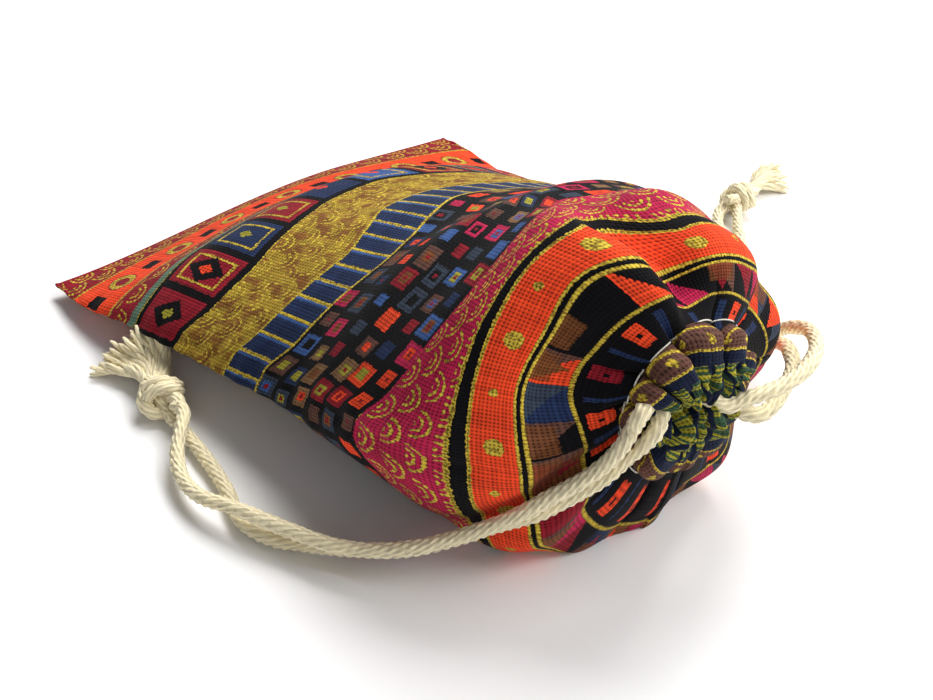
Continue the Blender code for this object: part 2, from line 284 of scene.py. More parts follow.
def add_tubes(name: str, tubes: Sequence[Array], lengths: Sequence[float]) -> Piece:
    """Make one piece of closed tubes.

    Args:
        name: The piece's name.
        tubes: For each tube its rings, an array of rings, sides and 3, metres.
        lengths: The length of each tube in millimetres, for its surface coordinate u. v goes once
            round, offset by the tube's number.

    Returns:
        The new object.
    """
    vertices, faces, corners, ends, end_corners, start = [], [], [], [], [], 0
    for number, (rings, length) in enumerate(zip(tubes, lengths)):
        count, sides = rings.shape[:2]
        face, row, column = quads(count, sides, start)
        faces.append(face)
        corners.append(np.stack([row / (count - 1) * length, number + column / sides], axis=-1))
        tips = start + count * sides
        j = np.arange(sides)
        k = (j + 1) % sides
        ends.append(np.stack([np.full(sides, tips), start + k, start + j], axis=-1))
        ends.append(np.stack([np.full(sides, tips + 1), start + (count - 1) * sides + j,
                              start + (count - 1) * sides + k], axis=-1))
        around = np.stack([(j + 0.5) / sides, k / sides, j / sides], axis=-1) + number
        end_corners.append(np.stack([np.zeros_like(around), around], axis=-1))
        end_corners.append(np.stack([np.full_like(around, length), around], axis=-1))
        vertices += [rings.reshape(-1, 3), rings[0].mean(axis=0)[None], rings[-1].mean(axis=0)[None]]
        start = tips + 2
    return add_piece(name, np.vstack(vertices), [np.vstack(faces), np.vstack(ends)],
                     [np.vstack(corners), np.vstack(end_corners)])


def feed(tree: bpy.types.NodeTree, entry: Socket, value: "Value | Paint") -> None:
    """Give a node's input a field, another node's output, or a plain number or colour."""
    source = value.socket if isinstance(value, Field) else value
    if isinstance(source, Socket):
        tree.links.new(source, entry)
    else:
        entry.default_value = source


class Field:
    """A number that varies over a surface: a node's output, on which arithmetic adds Math nodes."""

    def __init__(self, tree: bpy.types.NodeTree, socket: Socket) -> None:
        """Hold the node tree and the socket."""
        self.tree, self.socket = tree, socket

    def op(self, operation: str, *others: Value) -> "Field":
        """Add one Math node.

        Args:
            operation: The Math node's operation.
            others: Its further inputs.

        Returns:
            The node's output.
        """
        node = self.tree.nodes.new("ShaderNodeMath")
        node.operation = operation
        for entry, value in zip(node.inputs, (self, *others)):
            feed(self.tree, entry, value)
        return Field(self.tree, node.outputs[0])

    def __add__(self, other: Value) -> "Field":
        """Sum."""
        return self.op("ADD", other)

    def __sub__(self, other: Value) -> "Field":
        """Difference."""
        return self.op("SUBTRACT", other)

    def __mul__(self, other: Value) -> "Field":
        """Product."""
        return self.op("MULTIPLY", other)

    def __truediv__(self, other: Value) -> "Field":
        """Quotient."""
        return self.op("DIVIDE", other)

    def __gt__(self, other: Value) -> "Field":
        """1 where this is more than the other, else 0."""
        return self.op("GREATER_THAN", other)

    def __lt__(self, other: Value) -> "Field":
        """1 where this is less than the other, else 0."""
        return self.op("LESS_THAN", other)

    def less_from(self, value: float) -> "Field":
        """The value less this."""
        return (self * -1.0) + value

    def either(self, other: "Field") -> "Field":
        """The greater of the two."""
        return self.op("MAXIMUM", other)

    def between(self, low: Value, high: Value) -> "Field":
        """1 from low to high, else 0."""
        return (self > low) * (self < high)

    def near(self, place: float, half: Value) -> "Field":
        """1 within half of the place, else 0."""
        return (self - place).size() < half

    def size(self) -> "Field":
        """Its value without the sign."""
        return self.op("ABSOLUTE")

    def away(self, other: "Field") -> "Field":
        """Distance from the origin in the plane of the two."""
        return (self * self + other * other).op("SQRT")

    def square(self, other: "Field") -> "Field":
        """Half the side of the square about the origin on which the two lie."""
        return self.size().either(other.size())

    def cell(self, size: float, offset: Value = 0.0) -> tuple["Field", "Field"]:
        """Cells of one size: each cell's number, and the distance from its middle."""
        share = self / size + offset
        number = share.op("FLOOR")
        return number, (share - number - 0.5) * size


class Pen:
    """Draws one finish into a new material's node tree."""

    def __init__(self, name: str) -> None:
        """Start a material of that name with its Principled shader."""
        self.material = bpy.data.materials.new(name)
        self.material.use_nodes = True
        self.tree = self.material.node_tree
        self.shader = self.tree.nodes["Principled BSDF"]

    def node(self, kind: str, **settings: object) -> bpy.types.Node:
        """Add a node and set its properties."""
        node = self.tree.nodes.new(kind)
        for key, value in settings.items():
            setattr(node, key, value)
        return node

    def surface(self) -> tuple[Field, Field]:
        """The piece's own surface coordinates u and v."""
        source = self.node("ShaderNodeUVMap", uv_map="surface")
        split = self.node("ShaderNodeSeparateXYZ")
        self.tree.links.new(source.outputs[0], split.inputs[0])
        return Field(self.tree, split.outputs[0]), Field(self.tree, split.outputs[1])

    def place(self) -> Socket:
        """The piece's Object coordinates."""
        return self.node("ShaderNodeTexCoord").outputs["Object"]

    def point(self, *values: Value) -> Socket:
        """A vector of the given fields."""
        join = self.node("ShaderNodeCombineXYZ")
        for entry, value in zip(join.inputs, values):
            feed(self.tree, entry, value)
        return join.outputs[0]

    def noise(self, where: Socket, scale: float, detail: float = 2.0) -> Field:
        """Soft noise from 0 to 1 about 0.5."""
        node = self.node("ShaderNodeTexNoise")
        self.tree.links.new(where, node.inputs["Vector"])
        node.inputs["Scale"].default_value = scale
        node.inputs["Detail"].default_value = detail
        return Field(self.tree, node.outputs[0])

    def chance(self, x: Value, y: Value = 0.0, z: float = 0.0) -> Field:
        """A number from 0 to 1 that stays the same within one cell."""
        node = self.node("ShaderNodeTexWhiteNoise", noise_dimensions="3D")
        self.tree.links.new(self.point(x, y, z), node.inputs["Vector"])
        return Field(self.tree, node.outputs["Value"])

    def ramp(self, share: Field, colours: Sequence[Colour]) -> Socket:
        """One of the colours, each for an equal share of 0 to 1."""
        node = self.node("ShaderNodeValToRGB")
        node.color_ramp.interpolation = "CONSTANT"
        stops = node.color_ramp.elements
        for _ in range(len(colours) - 2):
            stops.new(0.5)
        for number, stop in enumerate(stops):
            stop.position = number / len(colours)
        for stop, colour in zip(stops, colours):
            stop.color = colour
        self.tree.links.new(share.socket, node.inputs[0])
        return node.outputs[0]

    def paint(self, below: Paint, cover: Value, colour: Paint, blend: str = "MIX") -> Socket:
        """Lay a colour over another.

        Args:
            below: What is painted over.
            cover: How much of the colour covers it, 0 to 1.
            colour: The colour laid on.
            blend: How the two are combined.

        Returns:
            The painted colour.
        """
        node = self.node("ShaderNodeMix", data_type="RGBA", blend_type=blend)
        for entry, value in ((node.inputs[0], cover), (node.inputs[6], below), (node.inputs[7], colour)):
            feed(self.tree, entry, value)
        return node.outputs[2]

    def grey(self, value: Field) -> Socket:
        """A grey of the given value, to multiply a colour by."""
        return self.point(value, value, value)

    def finish(self, colour: Socket, height: Field, relief: float, roughness: Field, sheen: float) -> Finish:
        """Join the drawing to the shader.

        Args:
            colour: The base colour.
            height: The relief, 0 to 1.
            relief: How deep the relief is, metres.
            roughness: The roughness over the surface.
            sheen: The weight of the fibres' sheen.

        Returns:
            The finished material.
        """
        bump = self.node("ShaderNodeBump")
        bump.inputs["Distance"].default_value = relief
        self.tree.links.new(height.socket, bump.inputs["Height"])
        self.tree.links.new(bump.outputs[0], self.shader.inputs["Normal"])
        self.tree.links.new(colour, self.shader.inputs["Base Color"])
        self.tree.links.new(roughness.socket, self.shader.inputs["Roughness"])
        self.shader.inputs["Specular IOR Level"].default_value = SPECULAR
        self.shader.inputs["Sheen Weight"].default_value = sheen
        self.shader.inputs["Sheen Roughness"].default_value = SHEEN_ROUGHNESS
        return self.material


ORANGE = srgb(236, 72, 36)
MAROON = srgb(140, 26, 40)
MAGENTA = srgb(186, 34, 78)
OCHRE = srgb(168, 138, 48)
UMBER = srgb(122, 72, 38)
GOLD = srgb(204, 178, 62)
OLD_GOLD = srgb(138, 112, 42)
NAVY = srgb(34, 48, 82)
BLUE = srgb(60, 92, 150)
INK = srgb(24, 32, 54)
SLATE = srgb(54, 64, 80)
BLACK = srgb(9, 8, 12)
BROWN = srgb(98, 66, 56)
TAN = srgb(132, 98, 66)
GREEN_GREY = srgb(96, 124, 104)
MOSS = srgb(58, 84, 62)
LIME_GOLD = srgb(160, 152, 50)


# The print's plain bands, then the gold lines: where along the cloth, and half how wide, millimetres
GROUNDS = ((7.6, 19.0, ORANGE), (25.4, 27.4, GREEN_GREY), (27.4, 42.8, BLACK), (58.0, 68.6, NAVY),
           (68.6, 99.8, BLACK), (112.9, 115.6, BLACK), (115.6, 123.4, ORANGE), (123.4, 124.6, BLACK),
           (131.6, 139.3, BLACK), (139.3, 145.0, BROWN), (145.0, 200.0, INK))
GOLD_LINES = ((7.4, 0.28), (19.2, 0.3), (27.3, 0.2), (42.7, 0.2), (58.0, 0.3), (68.5, 0.3), (112.9, 0.32),
              (115.6, 0.32), (123.3, 0.28), (124.8, 0.28), (131.5, 0.28), (141.2, 0.36), (144.9, 0.3))
# Rows of gold dots: place along the cloth, spacing, offset in spacings and radius
GOLD_DOTS = ((119.6, 20.0, 0.5, 1.65), (119.2, 20.0, 0.0, 0.8), (143.1, 4.4, 0.2, 0.68))
TILE_COLOURS = (ORANGE, BLUE, BROWN, MAROON, TAN, NAVY, MAGENTA, BROWN, ORANGE, SLATE, SLATE)
TILE_FILLINGS = (LIME_GOLD, ORANGE, BLACK, UMBER, LIME_GOLD, BLUE)
BLOCK_COLOURS = (MAROON, BLUE, MAGENTA, NAVY, MAROON, BROWN)
WEDGE_GROUNDS = (BLACK, BROWN, BLACK, MAROON, BLACK, SLATE, BLACK, INK)
WEDGE_ACCENTS = (BLACK, ORANGE, BLACK, MAGENTA, NAVY, BLACK, MAROON, UMBER)


@dataclass
class BandPrint:
    """The print in the making: crosswise bands, painted one over another.

    run and across are the cloth's coordinates in millimetres, and colour is what is painted so far.
    """

    pen: Pen
    run: Field
    across: Field
    colour: Paint = MAROON
    tile: float = 5.3
    wave: float = 7.2
    cloth: Socket = field(init=False)
    gold: Socket = field(init=False)

    def __post_init__(self) -> None:
        """Mix the gold ink, which is speckled with an older gold."""
        self.cloth = self.pen.point(self.run, self.across, 7.0)
        self.gold = self.pen.paint(OLD_GOLD, self.pen.noise(self.cloth, 2.9, 2.0) > 0.45, GOLD)

    def lay(self, cover: Value, colour: Paint) -> None:
        """Paint a colour over the print where the cover is 1."""
        self.colour = self.pen.paint(self.colour, cover, colour)

    def pick(self, colours: Sequence[Colour], *cell: Value) -> Socket:
        """One of the colours, by chance for each cell.

        Args:
            colours: What it is picked from.
            cell: The cell's numbers, and one of the motif's own.

        Returns:
            The colour picked.
        """
        return self.pen.ramp(self.pen.chance(*cell), colours)

    def scales(self) -> Field:
        """Fish-scale arcs, 1 on a line: rings about staggered centres, each row over the next."""
        rise = self.wave / 2
        level, above = self.run.cell(rise)
        shift = level.op("PINGPONG", 1.0) * 0.5
        rings, insides = [], []
        for offset, lift in ((shift, 0.0), (shift + 0.5, rise)):
            _, beside = self.across.cell(self.wave, offset)
            reach = beside.away(above + rise * 0.5 + lift)
            insides.append(reach < rise)
            rings.append((reach / (rise / 3)).op("FRACT").between(0.0, 0.37) * insides[-1])
        return rings[0].either(rings[1] * insides[0].less_from(1.0))

    def medallions(self) -> None:
        """Ringed dots and black squares by turns, in the orange band by the bottom seam."""
        _, beside = self.across.cell(15.0, 0.2)
        reach = beside.away(self.run - 13.3)
        self.lay(reach < 3.2, MAROON)
        self.lay(reach.near(2.3, 0.6), self.gold)
        _, beside = self.across.cell(15.0, 0.7)
        self.lay(beside.square(self.run - 13.8) < 1.8, BLACK)

    def blocks(self) -> None:
        """The row of large blocks with nested frames and diamonds, on black."""
        number, beside = self.across.cell(11.5, 0.36)
        wide, tall = beside.size(), (self.run - 34.8).size()
        block = (wide < 4.9) * (tall < 6.2)
        self.lay(block, self.pick(BLOCK_COLOURS, number, 2.0))
        posts, rails = wide.near(3.4, 0.28) * (tall < 4.9), tall.near(4.6, 0.28) * (wide < 3.6)
        self.lay(posts.either(rails) * block * (self.pen.chance(number, 4.0) > 0.35), self.gold)
        diamond = wide * 1.3 + tall
        self.lay((diamond < 4.4) * block * (self.pen.chance(number, 6.0) > 0.3),
                 self.pick((BLACK, MAROON, BLACK, NAVY), number, 8.0))
        self.lay((diamond < 1.7) * block, self.pick((LIME_GOLD, ORANGE), number, 9.0))

    def scaled_bands(self) -> None:
        """The bands with gold scales: two by the bottom seam, the patchy ochre one and the magenta one."""
        pen, run, scales = self.pen, self.run, self.scales()
        self.lay(scales * run.between(0.0, 6.6).either(run.between(20.4, 25.0)), self.gold)
        patch = ((pen.noise(self.cloth, 0.3, 3.0) - 0.44) * 7.0).op("MAXIMUM", 0.0).op("MINIMUM", 0.85)
        deep = pen.noise(self.cloth, 0.12, 1.0) * 0.5
        for low, high, ground in ((42.8, 58.0, pen.paint(OCHRE, patch, UMBER)),
                                  (99.8, 112.9, pen.paint(MAGENTA, deep, MAROON))):
            self.lay(run.between(low, high), pen.paint(ground, scales, self.gold))

    def ladder(self) -> None:
        """The navy band with blue edges and gold rungs."""
        band = self.run.between(58.0, 68.6)
        _, beside = self.across.cell(4.6, 0.3)
        self.lay(band * (beside > 1.35), BLUE)
        self.lay(band * beside.size().between(1.95, 4.0), self.gold)

    def tiles(self) -> None:
        """Square tiles of chance size, colour and filling on black, in staggered rows."""
        chance = self.pen.chance
        row, along = self.run.cell(self.tile, 0.13)
        column, beside = self.across.cell(self.tile, chance(row, 3.0))
        along = along + (chance(column, row, 5.0) - 0.5) * 1.5
        beside = beside + (chance(column, row, 7.0) - 0.5) * 0.8
        half = chance(column, row, 9.0) * 1.15 + 1.15
        reach = along.square(beside)
        inside = (reach < half) * self.run.between(68.6, 99.8)
        self.lay(inside, self.pick(TILE_COLOURS, column, row, 11.0))
        self.lay((reach < half * 0.52) * inside * (half > 1.6), self.pick(TILE_FILLINGS, column, row, 13.0))
        self.lay((reach < half * 0.22) * inside * (chance(column, row, 15.0) > 0.5), MAROON)

    def wedges(self) -> None:
        """The narrow band of blocks and triangles next to the casing."""
        start, width, pitch = 124.6, 7.0, 7.6
        chance, band = self.pen.chance, self.run.between(start, start + width)
        number, beside = self.across.cell(pitch, 0.35)
        rising = (self.run - start) / width
        self.lay(band, self.pick(WEDGE_GROUNDS, number, 1.0))
        self.lay(band * ((beside / pitch + 0.5) < rising), self.pick(WEDGE_ACCENTS, number, 21.0))
        peak = (beside.size() / 4.2 + rising * 0.95) < 0.85
        self.lay(band * peak * (chance(number, 31.0) > 0.6),
                 self.pick((ORANGE, MAGENTA, UMBER, MAROON), number, 41.0))
        straw = (beside.size() < 3.2) * (chance(number, 51.0) > 0.7) * (rising < 0.6)
        self.lay(band * straw * 0.7, UMBER)

    def checks(self) -> None:
        """The black band under the stitches, with a square now and then and navy streaks between."""
        dark = self.run.between(131.6, 139.3)
        number, beside = self.across.cell(13.0, 0.5)
        streak = (beside.size() > 5.3) * (self.run > 133.0)
        self.lay(dark * streak * (self.pen.chance(number, 71.0) > 0.45), NAVY)
        reach = beside.square(self.run - 134.9)
        self.lay((reach < 2.0) * dark * (self.pen.chance(number, 81.0) > 0.28),
                 self.pick((ORANGE, MAROON, ORANGE, ORANGE), number, 3.0))
        self.lay((reach < 0.5) * dark, BLACK)

    def ruffle_bars(self) -> None:
        """Green columns with broken gold bars, one to each fold of the ruffle."""
        step, along = self.run.cell(1.5)
        column, beside = self.across.cell(PouchForm.ruffle_pitch)
        green = (beside.size() < 1.25) * (self.run > 148.0)
        self.lay(green, MOSS)
        self.lay(green * (along.size() < 0.46) * (self.pen.chance(column, step, 61.0) > 0.22), LIME_GOLD)

    def whole(self) -> Socket:
        """Draw every band from the bottom seam to the drawn edge.

        Returns:
            The print's colour.
        """
        for low, high, colour in GROUNDS:
            self.lay(self.run.between(low, high), colour)
        for motif in (self.medallions, self.blocks, self.scaled_bands, self.ladder,
                      self.tiles, self.wedges, self.checks, self.ruffle_bars):
            motif()
        for place, spacing, offset, radius in GOLD_DOTS:
            _, beside = self.across.cell(spacing, offset)
            self.lay(beside.away(self.run - place) < radius, self.gold)
        for place, half in GOLD_LINES:
            self.lay(self.run.near(place, half), self.gold)
        return self.colour


@dataclass(frozen=True)
class PrintedCotton:
    """Coarse plain-weave cotton: single threads, each printed in the colour that lies under it."""

    thread: float = 0.68
    whole: float = 0.35
    relief: float = 0.00011
    sheen: float = 0.03

    def material(self) -> Finish:
        """Draw the weave, the print and painted shade between the threads.

        Returns:
            The finished material.
        """
        pen = Pen("printed_cotton_cloth")
        u, v = pen.surface()
        run, across = u * CLOTH_LENGTH, v * CLOTH_ROUND
        cloth = pen.point(run, across, 0.0)
        weft, in_weft = run.cell(self.thread)
        warp, in_warp = across.cell(self.thread)
        printed = run - in_weft * self.whole + (pen.noise(cloth, 1.7, 1.0) - 0.5) * 0.5
        spread = across - in_warp * self.whole + (pen.noise(cloth, 1.5, 1.0) - 0.5) * 0.5
        colour = BandPrint(pen, printed, spread).whole()
        crown_weft = (in_weft * (np.pi / self.thread)).op("COSINE")
        crown_warp = (in_warp * (np.pi / self.thread)).op("COSINE")
        over = (weft + warp).op("PINGPONG", 1.0)
        height = crown_weft * (over * 0.45 + 0.55) + crown_warp * (over.less_from(1.0) * 0.45 + 0.55)
        # The threads' low sides and the gaps where they cross are darkened in the colour below: painted
        # shade.
        low_weft, low_warp = crown_weft.less_from(1.0), crown_warp.less_from(1.0)
        gap_shade = (low_weft * low_warp).op("POWER", 0.8)
        slub = pen.noise(pen.point(run * 0.16, across * 1.6, 0.0), 1.0, 3.0)
        streak = pen.noise(pen.point(run * 1.6, across * 0.16, 4.0), 1.0, 3.0)
        # Each thread's own tone, slubs and streaks, less the painted shade in the gaps and on the threads'
        # sides.
        shade = (pen.chance(weft, 1.0) * 0.24 + pen.chance(warp, 2.0) * 0.24 + slub * 0.5 + streak * 0.5
                 - gap_shade * 0.95 - low_weft * 0.12 - low_warp * 0.12 + 0.42).op("MAXIMUM", 0.1)
        colour = pen.paint(colour, 1.0, pen.grey(shade), "MULTIPLY")
        fibre = pen.noise(cloth, 6.0, 3.0)
        return pen.finish(colour, height * 0.5 + fibre * 0.28, self.relief, fibre * 0.2 + 0.68, self.sheen)


@dataclass(frozen=True)
class CordCotton:
    """Undyed cotton of the three-ply cord: fine twisted fibres in a warm cream."""

    name: str = "cord_cotton_yarn"
    yarns: float = 9.0
    lay_length: float = 2.4
    relief: float = 0.0003

    def material(self) -> Finish:
        """Draw the fibres along the yarns, with painted light and shade on the yarns' ridges.

        Returns:
            The finished material.
        """
        pen = Pen(self.name)
        along, around = pen.surface()
        spiral = around * self.yarns + along / self.lay_length
        fibres = pen.noise(pen.point(spiral * 3.0, along * 0.35, around), 1.0, 3.0)
        # The yarns' ridges, also used for the relief; in the colour they give lighter crests and darker
        # valleys, painted light and shade of the twist.
        ridge = (spiral * (2 * np.pi)).op("SINE") * 0.5 + 0.5
        patch = pen.noise(pen.place(), 260.0, 2.0)
        shade = fibres * 0.95 + ridge * 0.32 + patch * 0.2 + 0.29
        colour = pen.paint(srgb(246, 235, 200), patch * 0.5, srgb(218, 200, 148))
        colour = pen.paint(colour, 1.0, pen.grey(shade), "MULTIPLY")
        return pen.finish(colour, ridge * 0.45 + fibres * 0.55, self.relief, fibres * 0.1 + 0.82, 0.25)


@dataclass(frozen=True)
class StitchThread:
    """Fine white sewing thread."""

    def material(self) -> Finish:
        """Draw the thread's twist, with painted shade along it.

        Returns:
            The finished material.
        """
        pen = Pen("white_sewing_thread")
        along, around = pen.surface()
        twist = ((around + along / 0.5) * (2 * np.pi)).op("SINE") * 0.5 + 0.5
        # The grey stripes that follow the twist are painted shade on the white thread.
        colour = pen.paint(srgb(236, 232, 220), twist * 0.5, srgb(190, 186, 178))
        return pen.finish(colour, twist, 0.00003, twist * 0.1 + 0.5, 0.1)


@dataclass(frozen=True)
class StudioPaper:
    """Plain white background paper."""

    def material(self) -> Finish:
        """Draw the paper's faint grain.

        Returns:
            The finished material.
        """
        pen = Pen("white_background_paper")
        grain = pen.noise(pen.place(), 900.0, 2.0)
        colour = pen.paint(srgb(250, 250, 251), grain * 0.15, srgb(244, 244, 246))
        return pen.finish(colour, grain, 0.00001, grain * 0.05 + 0.9, 0.0)


@dataclass(frozen=True)
class Station:
    """One cross-section of the filled cloth, in millimetres.

    run is the distance along the cloth, x the place along the body, lag how far the crown trails
    the side edges, side the sideways centre, half the half width, level the height of the widest
    line, rise and drop the crown above and the belly below it, and taper 1 for an ellipse.
    """

    run: float
    x: float
    lag: float
    side: float
    half: float
    level: float
    rise: float
    drop: float
    taper: float


STATIONS = (
    Station(0.0, 0.0, 0.0, -6.0, 48.5, 2.6, 1.0, 1.0, 1.5),
    Station(12.0, 11.8, 2.2, -4.5, 49.0, 4.6, 5.2, 3.0, 1.4),
    Station(30.0, 28.5, 4.6, -0.5, 49.0, 8.0, 14.6, 5.9, 1.4),
    Station(50.0, 46.0, 1.2, 2.5, 47.5, 10.0, 20.2, 8.2, 1.5),
    Station(70.0, 64.5, -0.6, 4.5, 45.5, 12.6, 25.8, 12.6, 1.4),
    Station(85.0, 77.8, 0.0, 3.0, 42.5, 16.4, 30.2, 18.0, 1.2),
    Station(100.0, 91.0, 1.6, 0.7, 39.0, 21.0, 30.2, 25.0, 1.1),
    Station(113.0, 102.0, 4.2, -1.4, 32.6, 27.0, 26.0, 33.0, 1.0),
    Station(125.0, 111.5, 3.6, 1.2, 26.4, 31.0, 20.5, 35.5, 1.0),
    Station(134.0, 114.8, 1.6, 2.0, 17.6, 31.6, 15.0, 25.0, 1.0),
    Station(139.5, 117.4, 0.6, 0.9, 12.2, 32.4, 11.2, 12.0, 1.0),
    Station(142.0, 118.9, 0.0, 0.5, 12.4, 32.6, 11.4, 12.2, 1.0),
    Station(144.8, 120.1, 0.0, 0.1, 11.2, 33.1, 9.8, 10.6, 1.0),
    Station(148.0, 121.0, 0.0, -0.1, 10.0, 33.5, 7.4, 8.0, 1.0),
    Station(152.0, 121.5, 0.0, -0.2, 9.2, 34.0, 5.0, 5.8, 1.0),
    Station(156.0, 121.5, 0.0, -0.4, 8.6, 34.4, 3.2, 4.0, 1.0),
    Station(161.0, 120.3, 0.0, -0.5, 8.0, 34.8, 1.6, 2.2, 1.0),
    Station(166.0, 116.4, 0.0, -0.5, 7.6, 34.8, 0.7, 0.8, 1.0),
)

# Where each printed line lies on the filled form: its own run, then its run on the form at each turn
DRIFT_TURNS = (0.14, 0.20, 0.25, 0.29, 0.33, 0.375, 0.42, 0.46, 0.505, 0.55, 0.60, 0.68)
PRINT_DRIFT = (
    (0.0, (0.0, 0.0, 0.0, 0.0, 0.0, 0.0, 0.0, 0.0, 0.0, 0.0, 0.0, 0.0)),
    (27.2, (27.2, 28.7, 28.7, 27.7, 25.5, 25.0, 21.7, 20.0, 21.0, 24.0, 27.2, 27.2)),
    (42.2, (42.2, 41.7, 41.7, 44.0, 44.0, 41.7, 39.0, 36.5, 36.0, 39.0, 42.0, 42.2)),
    (58.0, (58.0, 56.7, 56.7, 59.5, 60.2, 60.0, 55.8, 51.0, 49.5, 53.0, 57.0, 58.0)),
    (68.5, (68.5, 65.7, 65.7, 68.9, 70.0, 71.0, 67.5, 63.0, 59.5, 63.0, 68.0, 68.5)),
    (99.8, (101.0, 100.6, 95.0, 101.4, 105.4, 107.0, 106.0, 103.0, 91.5, 96.0, 99.8, 99.8)),
    (114.2, (115.0, 116.8, 116.7, 116.6, 115.7, 114.1, 112.9, 113.7, 108.0, 118.6, 118.6, 114.2)),
    (124.0, (124.0, 125.2, 125.1, 124.6, 123.2, 122.6, 121.2, 124.0, 128.6, 127.8, 127.5, 124.0)),
    (131.5, (131.5, 133.4, 133.4, 132.5, 130.9, 130.7, 129.9, 131.0, 135.0, 133.8, 134.2, 131.5)),
    (139.3, (139.3, 139.6, 139.3, 138.8, 138.2, 138.2, 138.2, 138.4, 139.5, 139.6, 139.6, 139.3)),
    (161.0, (161.0, 161.0, 161.0, 161.0, 161.0, 161.0, 161.0, 161.0, 161.0, 161.0, 161.0, 161.0)),
)


